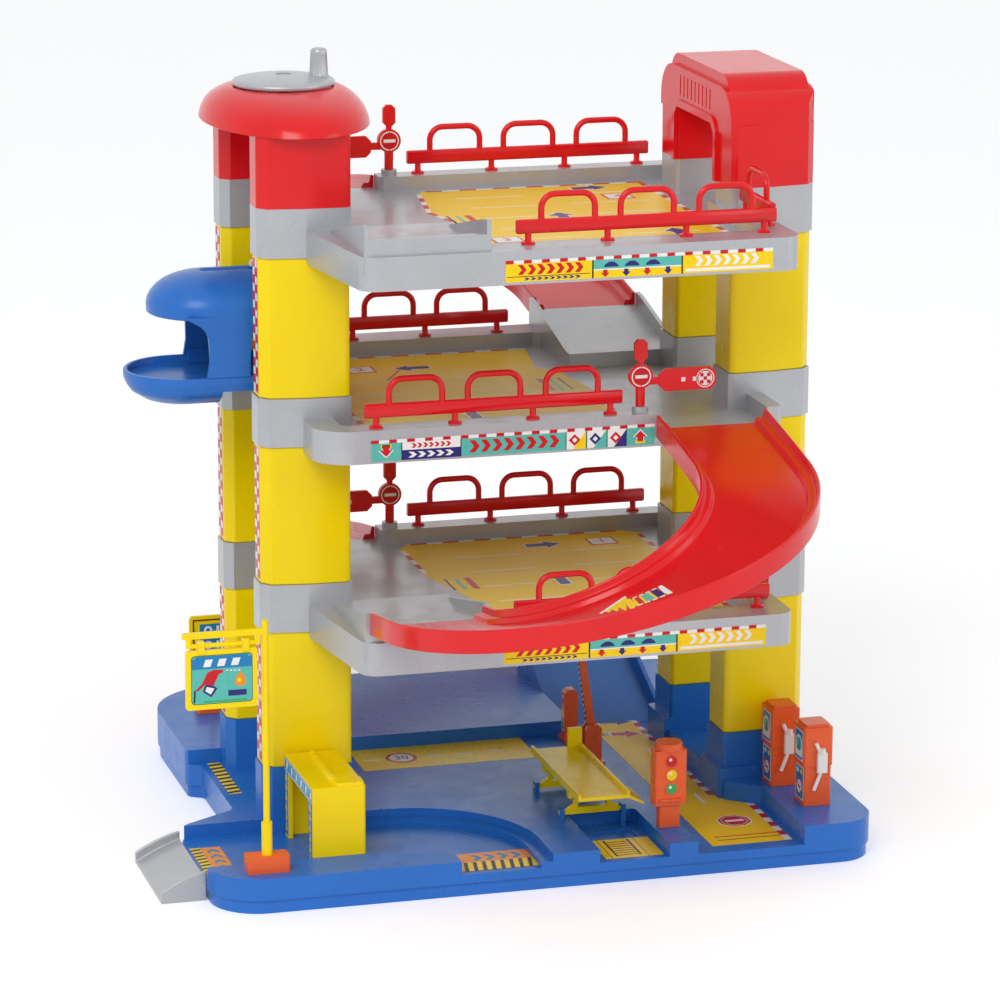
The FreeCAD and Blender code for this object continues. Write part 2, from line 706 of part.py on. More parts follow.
def make_base_shape():
    """Blue tray: thin walls over roads, islands and the rear platform, with the four column feet."""
    outline, corners = base_outline(), BASE_CORNERS
    tall = prism(outline, corners, 0, 100)
    tall_inside = inset_prism(outline, corners, WALL, -1, 100)
    solid = prism(outline, corners, PLINTH, LANE_FLOOR)
    plinth = inset_prism(outline, corners, PLINTH_STEP, 0, PLINTH + 1)
    outer, hollow = [solid, plinth], [inset_prism(outline, corners, WALL + PLINTH_STEP, -1, LANE_FLOOR - PLATE)]
    for points, radii, top in base_regions():
        outer.append(prism(points, radii, PLINTH, top).common(tall))
        hollow.append(inset_prism(points, radii, PLATE, -1, top - PLATE).common(tall_inside))
    shape = outer[0].multiFuse(outer[1:])
    feet = [column_prism(side, COLLAR_GROW, PLINTH, FOOT_TOP) for side in CORNERS.values()]
    gap = block((0, BASE_RIGHT), (-COLUMN_NEAR + COLLAR_GROW, COLUMN_NEAR - COLLAR_GROW), (PLINTH, FOOT_TOP))
    right_sides = [side for side in CORNERS.values() if side[0] > 0]
    steps = [column_prism(side, FOOT_STEP, PLINTH, FOOT_STEP_TOP).cut(gap) for side in right_sides]
    shape = shape.multiFuse(feet + steps)
    for region in hollow:
        shape = shape.cut(region)
    bores = [column_bore(side, -1, FOOT_TOP - 4) for side in CORNERS.values()]
    shape = shape.cut(bores[0].multiFuse(bores[1:]))
    return shape


def make_base():
    shape = make_base_shape()
    back, front = float(RAMP_STRAIGHT), float(COLUMN_FAR) + 32
    low, high = float(LANE_FLOOR), float(CHANNEL_TOP)
    lane_out = LANE_IN + LANE_WIDTH
    bed = side_prism([(front, low - 2), (back, low - 2), (back, high), (back - 8, high), (front, low)], 0, LANE_IN, lane_out)
    hollow = side_prism([(front + 12, low - 3), (back - 3, low - 3), (back - 3, high - 3), (back - 8, high - 3)], 0,
                        LANE_IN + WALL, lane_out - WALL)
    walls = []
    for x in (LANE_IN - WALL, lane_out):
        walls.append(side_prism([(front, low - 2), (back, low - 2), (back, high + 9), (back - 8, high + 9), (front, low + 9)],
                                0, x, x + WALL))
    rear_lip = block((LANE_IN - WALL, lane_out + WALL), (back, BASE_REAR - WALL), (PLINTH, LANE_FLOOR))
    ribs = [block((-LANDING_X + 2, BASE_RIGHT - 2), (-WALL / 2, WALL / 2), (0, LANE_FLOOR - 1)),
            block((-WALL / 2, WALL / 2), (-BASE_FRONT + 4, BASE_REAR - 4), (0, LANE_FLOOR - 1))]
    shape = shape.multiFuse([bed] + walls + [rear_lip] + ribs).cut(hollow)
    shape = shape.cut(block((20, 48), (-158, -128), (LANE_FLOOR - 1.2, LANE_FLOOR + 1), 3))
    shape = shape.multiFuse(hoist_lugs())
    shape = shape.cut(hoist_bores())
    keep("base_tray", shape.removeSplitter())


CHANNEL_TOP = LANE_FLOOR + 35

# Car hoist
HOIST_X = (6, 42)
HOIST_REAR_Y = size("hoist_rear_pivot", 58)
HOIST_FRONT_Y = size("hoist_front_pivot", 118)
HOIST_LEG = size("hoist_leg_length", 13)
HOIST_PIVOT_Z = MAIN_TOP + 3.5


def hoist_lugs():
    """Lugs on the tray that hold the lower pivots of the hoist."""
    lugs = []
    for y in (HOIST_REAR_Y, HOIST_FRONT_Y):
        for x in (HOIST_X[0] - 5, HOIST_X[1] + 2):
            lugs.append(block((x, x + 3), (-y - 3, -y + 3), (LANE_FLOOR - 1, HOIST_PIVOT_Z + 3)))
    return lugs


def hoist_bores():
    rear = rod(PIN + RUNNING, vec(HOIST_X[0] - 9, -HOIST_REAR_Y, HOIST_PIVOT_Z), vec(HOIST_X[1] + 9, -HOIST_REAR_Y, HOIST_PIVOT_Z))
    front = rod(PIN + RUNNING, vec(HOIST_X[0] - 9, -HOIST_FRONT_Y, HOIST_PIVOT_Z),
                vec(HOIST_X[1] + 9, -HOIST_FRONT_Y, HOIST_PIVOT_Z))
    return rear.fuse(front)


def make_hoist():
    left, right = HOIST_X
    low = float(HOIST_PIVOT_Z)
    high = low + float(HOIST_LEG)
    for name, pivot in (("hoist_rear_legs", HOIST_REAR_Y), ("hoist_front_legs", HOIST_FRONT_Y)):
        y = -float(pivot)
        outline = [
            (left - 1, low - 1.5), (right + 1, low - 1.5), (right + 1, low + 1.5), (right - 5, low + 5),
            (right - 5, high + 1.5), (left + 5, high + 1.5), (left + 5, low + 5), (left - 1, low + 1.5),
        ]
        frame = front_prism(outline, 0, y - 1.5, y + 1.5)
        window = front_prism([(left + 8, low + 3), (right - 8, low + 3), (right - 8, high - 3), (left + 8, high - 3)],
                             0, y - 3, y + 3)
        lower = rod(PIN, Vector(left - 5, y, low), Vector(right + 5, y, low))
        upper_radius = PIN if name == "hoist_front_legs" else PIN - CLEAR
        upper = rod(upper_radius, Vector(left + 1, y, high), Vector(right - 1, y, high))
        keep(name, union([frame.cut(window), lower, upper]))
    plate_low = high + 2.5
    back_y, front_y = -32.0, -146.0
    deck = front_prism([(left, plate_low), (right, plate_low), (right, plate_low + 5), (right - 2, plate_low + 5),
                        (right - 2, plate_low + 2.5), (left + 2, plate_low + 2.5), (left + 2, plate_low + 5),
                        (left, plate_low + 5)], 0, front_y, back_y)
    stop = block((right - 10, right), (back_y - 3, back_y), (plate_low, plate_low + 16))
    flap = front_prism([(right - 1, plate_low), (right + 10, plate_low - 5), (right + 10, plate_low - 3.5),
                        (right - 1, plate_low + 2.5)], 0, front_y, front_y + 30)
    parts = [deck, stop, flap]
    for pivot in (HOIST_REAR_Y, HOIST_FRONT_Y):
        y = -float(pivot)
        for x in (left + 1.2, right - 4.2):
            parts.append(side_prism([(y - 3.2, high - 3), (y + 3.2, high - 3), (y + 3.2, plate_low + 1), (y - 3.2, plate_low + 1)],
                                    0, x, x + 3))
    shape = union(parts)
    for pivot in (HOIST_REAR_Y, HOIST_FRONT_Y):
        y = -float(pivot)
        shape = shape.cut(rod(PIN + RUNNING, Vector(left - 1, y, high), Vector(right + 1, y, high)))
    keep("hoist_platform", shape)


# Lift caps
DOME_SIDES = 28


def oval(semi_x, semi_y, z):
    """Points round an oval about the cap's centre."""
    points = []
    for index in range(DOME_SIDES):
        angle = 2 * math.pi * index / DOME_SIDES
        points.append(vec(semi_x * math.cos(angle) - float(CAP_X), semi_y * math.sin(angle), z))
    return points


def dome(inset, low):
    """Oval dome between its brim and the crank disc, drawn in by an inset."""
    a, b = float(CAP_SEMI_X) - inset, float(CAP_SEMI_Y) - inset
    brim, top = float(BRIM_HIGH), float(DOME_TOP) - inset
    rings = [
        oval(a - 1.5, b - 1.5, low), oval(a, b, brim - inset / 2),
        oval(a * 0.93, b * 0.91, brim + (top - brim) * 0.35), oval(a * 0.8, b * 0.72, brim + (top - brim) * 0.75),
        oval(a * 0.66, b * 0.5, top),
    ]
    return faceted_loft(rings)


def make_lift_cap():
    low = collar_high(LEVELS)
    lefts = [CORNERS["front_left"], CORNERS["rear_left"]]
    shell = dome(0, float(BRIM_LOW))
    tubes = [column_prism(side, COLLAR_GROW, low, BRIDGE_TOP + 5) for side in lefts]
    shape = shell.multiFuse(tubes)
    shape = shape.cut(dome(float(WALL), float(BRIM_LOW) - 1).cut(tubes[0]).cut(tubes[1]))
    bores = [column_bore(side, low - 1, BRIDGE_TOP + 2) for side in lefts]
    shape = shape.cut(bores[0].fuse(bores[1]))
    bridge_rise = (BRIDGE_TOP - 2.5, BRIDGE_TOP)
    bridge = block((-CORD_X - 5, -CORD_X + 5), (-COLUMN_NEAR - 1, COLUMN_NEAR + 1), bridge_rise)
    shaft_bridge = block((-CAP_X - 7, -CAP_X + 7), (-COLUMN_NEAR - 1, COLUMN_NEAR + 1), bridge_rise)
    shape = shape.multiFuse([bridge, shaft_bridge])
    hole = Part.makeCylinder(float(CORD_RADIUS) + 0.6, 20, vec(-CORD_X, 0, BRIDGE_TOP - 10))
    shaft_hole = Part.makeCylinder(float(SHAFT + RUNNING), 40, vec(-CAP_X, 0, BRIDGE_TOP - 10))
    keep("lift_cap", shape.cut(hole.fuse(shaft_hole)).removeSplitter())


DISC_SIDES = 24
KNOB_SIDES = 12
SCREW_HEAD = size("screw_head_radius", 4)
SCREW_HIGH = size("screw_head_height", 1.8)
CLEAR_ABOVE = 0.3


def make_crank():
    """Crank disc with its knob, screw, shaft and the cord drum under the dome."""
    seat = DOME_TOP + CLEAR
    low, top = float(seat), float(seat + DISC_THICK)
    radius = float(DISC_RADIUS)
    disc = faceted_loft([
        polygon(radius, low, DISC_SIDES), polygon(radius, low + 3, DISC_SIDES),
        polygon(radius * 0.8, top - 1.2, DISC_SIDES), polygon(radius * 0.45, top, DISC_SIDES),
    ])
    well = Part.makeCylinder(float(SCREW_HEAD) + 0.6, 3, Vector(0, 0, top - 2.5))
    knob = faceted_loft([polygon(6.5, low + 3, KNOB_SIDES), polygon(4.8, float(KNOB_TOP), KNOB_SIDES)])
    knob.translate(vec(KNOB_OFFSET, 0))
    bottom = float(BRIDGE_TOP) - 2.5
    shaft = Part.makeCylinder(float(SHAFT), low + 1 - bottom, Vector(0, 0, bottom))
    flat = disc.multiFuse([knob, shaft]).cut(well)
    drive = Part.makeBox(float(SHAFT) * 2, float(SHAFT) * 2, 14, Vector(-float(SHAFT), float(SHAFT) * 0.7, bottom))
    crank = flat.cut(drive)
    crank.Placement = Placement(vec(-CAP_X, 0, 0), Rotation())
    keep("crank_handle", crank)
    screw = bound_cylinder("crank_screw_head", SCREW_HEAD, SCREW_HIGH, -CAP_X, 0, seat + DISC_THICK - 2.5)
    keep_object(screw, "crank_screw")
    drum_low = float(BRIDGE_TOP) + CLEAR_ABOVE
    core = faceted_loft([polygon(float(DRUM_RADIUS), z, DISC_SIDES) for z in (drum_low, drum_low + 7)])
    for z in (drum_low, drum_low + 5.5):
        flange = [polygon(float(DRUM_RADIUS) + 3, level, DISC_SIDES) for level in (z, z + 1.5)]
        core = core.fuse(faceted_loft(flange))
    bore = Part.makeCylinder(float(SHAFT) , 30, Vector(0, 0, drum_low - 5)).cut(
        Part.makeBox(float(SHAFT) * 2, float(SHAFT) * 2, 40, Vector(-float(SHAFT), float(SHAFT) * 0.7, drum_low - 8)))
    drum = core.cut(bore)
    drum.Placement = Placement(vec(-CAP_X, 0, 0), Rotation())
    keep("cord_drum", drum.removeSplitter())


def portal_envelope(low, high):
    """Plan of both right columns and the gap between them as one prism."""
    half = [point for point in column_outline(1, 1, COLLAR_GROW) if float(point[1]) > float(COLUMN_FAR) - 14]
    half = [(COLUMN_OUT + COLLAR_GROW, COLUMN_FAR - 12)] + half[-4:-1] + [(COLUMN_IN - 2, COLUMN_FAR)]
    return prism(half + [(x, -y) for x, y in reversed(half)], 0, low, high)


def make_portal_cap():
    low = float(collar_high(LEVELS))
    right = [CORNERS["front_right"], CORNERS["rear_right"]]
    far, near, top = float(COLUMN_FAR), float(COLUMN_NEAR), float(PORTAL_TOP)
    open_top, knee = float(PORTAL_OPEN), float(PORTAL_OPEN) + 4
    x_low, x_high = float(COLUMN_IN) - 2, float(COLUMN_OUT) + 1
    tubes = [column_prism(side, COLLAR_GROW, low, knee) for side in right]
    crown = side_prism([(-far, knee - 8), (far, knee - 8), (far, top - 8), (-far, top - 8)],
                       [0, 0, PORTAL_ROUND, PORTAL_ROUND], x_low, x_high)
    crown = crown.common(portal_envelope(low, top))
    ridge = side_prism([(-far + 12, top - 20), (far - 12, top - 20), (far - 12, top), (-far + 12, top)],
                       [0, 0, PORTAL_ROUND - 6, PORTAL_ROUND - 6], x_low + 3, x_high - 3)
    shape = tubes[0].multiFuse([tubes[1], crown, ridge])
    gap = side_prism([(-near, low - 1), (near, low - 1), (near, open_top), (-near, open_top)], [0, 0, 9, 9], x_low - 5, x_high + 5)
    shape = shape.cut(gap)
    hollow = side_prism([(-far + 3, open_top + 3), (far - 3, open_top + 3), (far - 3, top - 11), (-far + 3, top - 11)],
                        [0, 0, PORTAL_ROUND - 3, PORTAL_ROUND - 3], x_low + 3, x_high - 3)
    bores = [column_bore(side, low - 1, open_top + 4) for side in right]
    shape = shape.cut(hollow.multiFuse(bores))
    arch = side_prism([(-near - 5, low), (near + 5, low), (near + 5, open_top + 5), (-near - 5, open_top + 5)],
                      [0, 0, 13, 13], x_low - 1.5, x_low + 1)
    shape = shape.fuse(arch.cut(gap))
    slots = []
    for index in range(9):
        y = -32 + 8 * index
        slots.append(block((x_low - 1, x_low + 1), (y, y + 2.2), (open_top + 8, top - 13)))
    shape = shape.cut(slots[0].multiFuse(slots[1:]))
    keep("portal_cap", shape.removeSplitter())


# Lift cabin
CABIN_STEPS = 12


def cabin_outline(inset, z, right_inset=0.0, left_end=LIFT_LEFT):
    """Plan of the cabin: straight end in the lift gap, round end outside."""
    right = -float(LIFT_RIGHT) - right_inset
    half = float(LIFT_HALF) - inset
    centre = -float(left_end) + float(LIFT_HALF)
    corners = [Vector(right, -half, z), Vector(right, half, z)]
    for index in range(CABIN_STEPS + 1):
        angle = math.pi * (0.5 + index / CABIN_STEPS)
        corners.append(Vector(centre + half * math.cos(angle), half * math.sin(angle), z))
    return corners


def make_cabin():
    floor, rim = float(LIFT_FLOOR), float(LIFT_FLOOR + LIFT_RIM)
    wall = float(WALL)
    bottom = floor - float(BOWL_DEPTH)
    bowl = faceted_loft([cabin_outline(17, bottom), cabin_outline(5, floor - 8), cabin_outline(0, floor + 2),
                         cabin_outline(0, rim)])
    bowl = bowl.cut(block((-LANDING_X - 2, -LIFT_RIGHT + 1), (-60, 60), (floor - 20, floor - 4)))
    inside = faceted_loft([cabin_outline(wall, floor, -5), cabin_outline(wall, floor + 30, -5)])
    bowl = bowl.cut(inside)
    bowl_hollow = faceted_loft([cabin_outline(20, bottom - 1), cabin_outline(9, floor - 8), cabin_outline(4, floor - 3)])
    bowl_hollow = bowl_hollow.cut(block((-LANDING_X - 5, -LIFT_RIGHT + 1), (-60, 60), (floor - 30, floor)))
    keep("lift_tray", bowl.cut(bowl_hollow).removeSplitter())
    low, top = float(CANOPY_LOW), float(CANOPY_TOP)
    rise = top - low

    def shell(inset, bottom):
        shares = ((1, 0.0), (0, 0.2), (3, 0.5), (11, 0.77), (22, 0.93), (34, 1.0))
        right = -5 if inset else 0
        rings = []
        for step, share in shares:
            z = bottom if share == 0 else low + rise * share - inset * 0.7
            rings.append(cabin_outline(inset + step, z, right, CANOPY_LEFT))
        return faceted_loft(rings)

    canopy = shell(0, low).cut(shell(wall, low - 1))
    pillars = []
    half = float(LIFT_HALF)
    for sign in (-1, 1):
        y_values = sorted((sign * (half - wall - 0.0), sign * half))
        y_in = sorted((sign * (half - wall - 2.5), sign * (half - wall)))
        pillars.append(front_prism([(-219, rim), (-190, rim), (-189, low - 12), (-185, low + 4), (-234, low + 4),
                                    (-222, low - 3), (-217, low - 12)], 0, *y_values))
        pillars.append(front_prism([(-216, floor), (-192, floor), (-192, rim + 4), (-216, rim + 4)], 0, *y_in))
    canopy = canopy.multiFuse(pillars).removeSplitter()
    eye = vec(-CORD_X, 0, CANOPY_TOP + RING_RISE)
    lug = block((-CORD_X - 4, -CORD_X + 4), (-1.8, 1.8), (top - 1, top + 1.2))
    ring_seat = rod(RING_RADIUS, eye - Vector(0, 0.9, 0), eye + Vector(0, 0.9, 0))
    canopy = canopy.fuse(lug).cut(ring_seat)
    keep("lift_canopy", canopy.removeSplitter())
    keep("cord_ring", ring_seat.cut(rod(RING_RADIUS / 2, eye - Vector(0, 2, 0), eye + Vector(0, 2, 0))))
    cord_low, cord_high = CANOPY_TOP + RING_RISE + RING_RADIUS, BRIDGE_TOP + 0.2
    cord = bound_cylinder("cord_line", CORD_RADIUS, cord_high - cord_low, -CORD_X, 0, cord_low)
    keep_object(cord, "lift_cord")


# Accessories
def make_entry_ramp():
    left, right = -BASE_LOBE - 30, -BASE_LOBE
    y_front, y_back = -153, -66
    high, low = float(LANE_FLOOR), 1.5
    hinge, tip = float(right), float(left)
    middle = (hinge + tip) / 2
    road = Part.Wire([
        Part.Arc(Vector(hinge, 0, high), Vector(middle, 0, high * 0.62), Vector(tip, 0, low)).toShape(),
        Part.LineSegment(Vector(tip, 0, low), Vector(tip, 0, 0)).toShape(),
        Part.LineSegment(Vector(tip, 0, 0), Vector(tip + 8, 0, 0)).toShape(),
        Part.Arc(Vector(tip + 8, 0, 0), Vector(middle + 2, 0, high * 0.62 - 4), Vector(hinge, 0, high - 3)).toShape(),
        Part.LineSegment(Vector(hinge, 0, high - 3), Vector(hinge, 0, high)).toShape(),
    ])
    bed = Part.Face(road).extrude(Vector(0, y_back - y_front, 0))
    bed.translate(Vector(0, y_front, 0))
    cheek = Part.Wire([
        Part.Arc(Vector(hinge, 0, high + 5), Vector(middle, 0, high * 0.62 + 6), Vector(tip, 0, low + 6)).toShape(),
        Part.LineSegment(Vector(tip, 0, low + 6), Vector(tip, 0, 0)).toShape(),
        Part.LineSegment(Vector(tip, 0, 0), Vector(hinge, 0, 0)).toShape(),
        Part.LineSegment(Vector(hinge, 0, 0), Vector(hinge, 0, high + 5)).toShape(),
    ])
    cheeks = []
    for y in (y_front, y_back - 3):
        side = Part.Face(cheek).extrude(Vector(0, 3, 0))
        side.translate(Vector(0, y, 0))
        cheeks.append(side)
    keep("entry_ramp", union([bed] + cheeks))


def make_gas_sign():
    x, y = -212.0, -173.0
    floor = float(MAIN_TOP)
    base = block((x - 14, x + 14), (y - 7, y + 7), (floor, floor + 11), 2)
    base = base.cut(bar(3.6, Vector(x, y, floor + 3), Vector(x, y, floor + 23)))
    keep("gas_sign_base", base)
    foot = bar(3.6, Vector(x, y, floor + 3), Vector(x, y, floor + 33))
    pole = bar(2.2, Vector(x, y, floor + 20), Vector(x, y, floor + 168))
    arm_z = float(floor) + 161
    arm = front_prism([(x - 54, arm_z - 2), (x, arm_z - 2), (x, arm_z + 2), (x - 54, arm_z + 2)], 0, y - 1.4, y + 1.4)
    rod_pin = rod(PIN, Vector(x - 51, y, arm_z - 7), Vector(x - 4, y, arm_z - 7))
    hooks = [block((hook - 1.5, hook + 1.5), (y - 1.4, y + 1.4), (arm_z - 8.2, arm_z)) for hook in (x - 50, x - 5)]
    keep("gas_sign_post", union([foot, pole, arm, rod_pin] + hooks))
    panel_top = arm_z - 10
    panel = front_prism([(x - 52, panel_top - 39), (x - 5.5, panel_top - 39), (x - 5.5, panel_top), (x - 52, panel_top)],
                        2, y - 1.8, y + 1.8)
    loops = []
    for hook in (x - 42, x - 13):
        loops.append(side_prism([(y - 3.4, panel_top - 2), (y + 3.4, panel_top - 2), (y + 3.4, arm_z - 3.8), (y - 3.4, arm_z - 3.8)],
                                1, hook - 2, hook + 2))
    bore = rod(PIN + RUNNING * 2, Vector(x - 60, y, arm_z - 7), Vector(x + 5, y, arm_z - 7))
    keep("gas_sign_panel", union([panel] + loops).cut(bore))


def make_side_sign():
    x, y = -178.0, 150.0
    floor = float(PLATFORM_TOP)
    base = block((x - 12, x + 12), (y - 7, y + 7), (floor, floor + 9), 2)
    base = base.cut(bar(2.6, Vector(x, y, floor + 3), Vector(x, y, floor + 23)))
    keep("side_sign_base", base)
    post = bar(2.6, Vector(x, y, floor + 3), Vector(x, y, floor + 55))
    board = front_prism([(x - 17, floor + 40), (x + 17, floor + 40), (x + 17, floor + 72), (x - 17, floor + 72)], 3, y - 4, y - 1.5)
    keep("side_sign_board", post.fuse(board))


def make_car_wash():
    x_low, x_high = -float(WASH_LEFT), -float(WASH_RIGHT)
    y_low, y_high = -float(WASH_FRONT), -float(COLUMN_FAR + COLLAR_GROW) - 0.3
    low, high = float(LANE_FLOOR), float(LANE_FLOOR + WASH_HEIGHT)
    hall = block((x_low, x_high), (y_low, y_high), (low, high), 2)
    tunnel = side_prism([(y_low + 11, low - 1), (y_high - 11, low - 1), (y_high - 11, high - 11), (y_low + 11, high - 11)],
                        0, x_low - 2, x_high + 2)
    lighten = side_prism([(y_low + 3, low - 1), (y_high - 3, low - 1), (y_high - 3, high - 3), (y_low + 3, high - 3)],
                         0, x_low + 3, x_high - 3)
    ridge_x = (x_low + x_high) / 2
    ridge = bar(3, Vector(ridge_x, y_low + 12, high), Vector(ridge_x, y_high - 6, high))
    pad = block((ridge_x - 1, x_high - 1), (y_low + 1, y_low + 14), (high - 1, high + 2.2), 1.5)
    shape = union([hall, ridge.common(block((x_low, x_high), (y_low, y_high), (high - 1, high + 9))), pad])
    keep("car_wash", shape.cut(tunnel.fuse(lighten)))


def make_barrier():
    floor = float(MAIN_TOP)
    plate = block((52, 66), (-14, 58), (floor, floor + 2), 2)
    post = front_prism([(53, floor), (63, floor), (63, floor + 38), (53, floor + 38)], [0, 0, 4.5, 4.5], 44, 52)
    cheeks = [front_prism([(53, floor), (65, floor), (65, floor + 27), (53, floor + 27)], [0, 0, 5, 5], y, y + 2.5) for y in (-7, 0.5)]
    shape = union([plate, post] + cheeks)
    pivot = Vector(59, 0, floor + 20)
    shape = shape.cut(rod(PIN + RUNNING, pivot + Vector(0, -9, 0), pivot + Vector(0, 9, 0)))
    keep("barrier_posts", shape)
    arm = front_prism([(56, floor + 12), (62, floor + 12), (61.5, floor + 84), (56.5, floor + 84)], 2, -3.6 + 0.0, 0.0)
    arm = arm.fuse(rod(PIN, pivot + Vector(0, -6.8, 0), pivot + Vector(0, 3, 0)))
    arm.rotate(pivot, Vector(0, 1, 0), -8)
    keep("barrier_arm", arm)


def make_light():
    x, y = 66.0, -158.0
    floor = float(MAIN_TOP)
    foot = block((x - 7, x + 7), (y, y + 8), (floor, floor + 17))
    body = block((x - 11, x + 11), (y - 2, y + 10), (floor + 16, floor + 54), 1.5)
    cap = bar(9, Vector(x, y + 4, floor + 54), Vector(x, y + 4, floor + 59), 20)
    visor = block((x - 8, x + 8), (y - 4, y - 1.9), (floor + 19, floor + 21))
    lamps = [bar(4, Vector(x, y - 3, z), Vector(x, y, z), 16) for z in (floor + 47, floor + 37.5, floor + 28)]
    keep("traffic_light", union([foot, body, cap, visor] + lamps))


def make_pump(number, x, y):
    floor = float(ISLAND_TOP)
    lower = block((x, x + 19), (y, y + 20), (floor, floor + 29), 1.5)
    upper = block((x - 0.8, x + 19.8), (y - 0.8, y + 20.8), (floor + 28, floor + 55), 2)
    top = block((x + 1, x + 18), (y + 1, y + 19), (floor + 54, floor + 57), 2)
    body = union([lower, upper, top])
    keep(f"pump_{number}", body)
    holder = block((x + 8, x + 15), (y - 4, y - 0.8), (floor + 24, floor + 38), 1)
    hose = bar(1.3, Vector(x + 11, y - 2.4, floor + 25), Vector(x + 6, y - 2.4, floor + 12), 8)
    hose = hose.fuse(bar(1.3, Vector(x + 11, y - 2.4, floor + 36), Vector(x + 7, y - 2.4, floor + 45), 8))
    spout = bar(2.2, Vector(x + 11.5, y - 3, floor + 37), Vector(x + 11.5, y - 3, floor + 41), 8)
    keep(f"pump_nozzle_{number}", union([holder, hose, spout]))


def build():
    make_base()
    make_entry_ramp()
    deck = make_deck_shape()
    for level in range(1, LEVELS + 1):
        keep(f"deck_{level}", turned(deck, (level + 1) % 2, deck_low(level)))
    for level in range(1, LEVELS + 1):
        for corner in CORNERS:
            make_sleeve(corner, level)
    top_floor = DECK_LOW + DECK_FLOOR
    landing = top_floor + CHANNEL_RISE
    long_drop = make_ramp_shape(LEVEL_RISE + top_floor, landing, True)
    keep("ramp_middle", long_drop)
    keep("ramp_upper", turned(long_drop, 1, LEVEL_RISE))
    keep("ramp_lower", turned(make_ramp_shape(top_floor, CHANNEL_TOP, False), 1))
    rail_shapes = (make_rail_shape(3, RAIL_PITCH), make_rail_shape(1, RAIL_SHORT_PITCH))
    for level in range(1, LEVELS + 1):
        make_rails(rail_shapes, level)
    sign = make_sign_shape()
    boss_x = -LANE_IN + SIGN_PIN * 3 + 1
    boss_y = DECK_REAR - RIM_REAR / 2
    for level in range(1, LEVELS + 1):
        half_turns = (level + 1) % 2
        placed = sign.copy()
        placed.Placement = Placement(vec(boss_x, boss_y, DECK_HEIGHT + 4), Rotation())
        keep(f"swing_sign_{level}", turned(placed, half_turns, deck_low(level)))
    make_lift_cap()
    make_crank()
    make_portal_cap()
    make_cabin()
    make_hoist()
    make_gas_sign()
    make_side_sign()
    make_car_wash()
    make_barrier()
    make_light()
    make_pump(1, 156.0, -104.5)
    make_pump(2, 163.0, -151.0)


def check_and_export():
    doc.recompute()
    for item in doc.Objects:
        if "Invalid" in item.State or "Error" in item.State:
            raise RuntimeError(f"{item.Label} failed: {item.State}")
    os.makedirs("parts", exist_ok=True)
    for item in subparts:
        shape = item.Shape
        if shape.isNull() or not shape.isValid():
            raise RuntimeError(f"{item.Label} has no valid shape")
        shape.exportStep(os.path.join("parts", f"{item.Label}.step"))
        print(f"{item.Label}: {len(shape.Solids)} solid, {shape.Volume / 1000:.1f} cm3")


build()
check_and_export()
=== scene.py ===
"""Looks of the toy parking garage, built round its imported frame.

Lengths are millimetres until a mesh is made.
"""

import json
import math

import bmesh
import bpy
from mathutils import Matrix, Vector


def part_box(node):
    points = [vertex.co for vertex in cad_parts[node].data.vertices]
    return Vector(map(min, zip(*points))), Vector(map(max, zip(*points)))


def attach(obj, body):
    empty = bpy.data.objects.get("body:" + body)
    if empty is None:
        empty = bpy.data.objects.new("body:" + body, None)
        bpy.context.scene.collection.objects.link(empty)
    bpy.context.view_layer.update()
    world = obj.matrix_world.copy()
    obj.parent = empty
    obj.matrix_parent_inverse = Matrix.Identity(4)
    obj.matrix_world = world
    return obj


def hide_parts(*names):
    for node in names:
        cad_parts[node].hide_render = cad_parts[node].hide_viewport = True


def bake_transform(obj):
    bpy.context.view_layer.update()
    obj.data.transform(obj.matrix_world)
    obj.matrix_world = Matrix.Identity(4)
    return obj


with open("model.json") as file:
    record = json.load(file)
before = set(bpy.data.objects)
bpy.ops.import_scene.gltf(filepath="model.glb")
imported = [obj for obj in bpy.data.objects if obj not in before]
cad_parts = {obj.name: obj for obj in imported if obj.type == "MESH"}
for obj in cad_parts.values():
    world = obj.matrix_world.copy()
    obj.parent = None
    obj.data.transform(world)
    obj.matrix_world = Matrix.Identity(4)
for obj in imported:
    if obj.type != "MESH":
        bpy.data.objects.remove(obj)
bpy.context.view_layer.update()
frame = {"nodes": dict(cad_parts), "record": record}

MM = 0.001
LEVELS = (1, 2, 3)


def cad(node):
    """Lowest and highest corner of a CAD node in millimetres."""
    low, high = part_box(node)
    return low / MM, high / MM


# Node graphs
def graph(name):
    """New material with its shader and small helpers to wire nodes."""
    material = bpy.data.materials.new(name)
    material.use_nodes = True
    nodes, links = material.node_tree.nodes, material.node_tree.links
    return material, nodes, links, nodes["Principled BSDF"]


def add(nodes, kind, **values):
    node = nodes.new(kind)
    for key, value in values.items():
        if key in node.inputs:
            node.inputs[key].default_value = value
        else:
            setattr(node, key, value)
    return node


def noise(nodes, links, place, **values):
    """Noise in the object's own coordinates."""
    texture = add(nodes, "ShaderNodeTexNoise", **values)
    links.new(place.outputs["Object"], texture.inputs["Vector"])
    return texture.outputs["Fac"]


def ramp_of(nodes, links, source, stops):
    """Colour of a source through (place, grey or colour) stops."""
    node = nodes.new("ShaderNodeValToRGB")
    elements = node.color_ramp.elements
    for element, (place, value) in zip(elements, (stops[0], stops[-1])):
        element.position = place
        element.color = colour4(value)
    for place, value in stops[1:-1]:
        elements.new(place).color = colour4(value)
    links.new(source, node.inputs["Fac"])
    return node.outputs["Color"]


def colour4(value):
    if isinstance(value, (int, float)):
        return (value, value, value, 1)
    return (*value[:3], 1)


def linear(red, green, blue):
    """Linear colour from 0 to 255 screen values."""
    def one(value):
        share = value / 255
        return share / 12.92 if share <= 0.04045 else ((share + 0.055) / 1.055) ** 2.4
    return (one(red), one(green), one(blue))


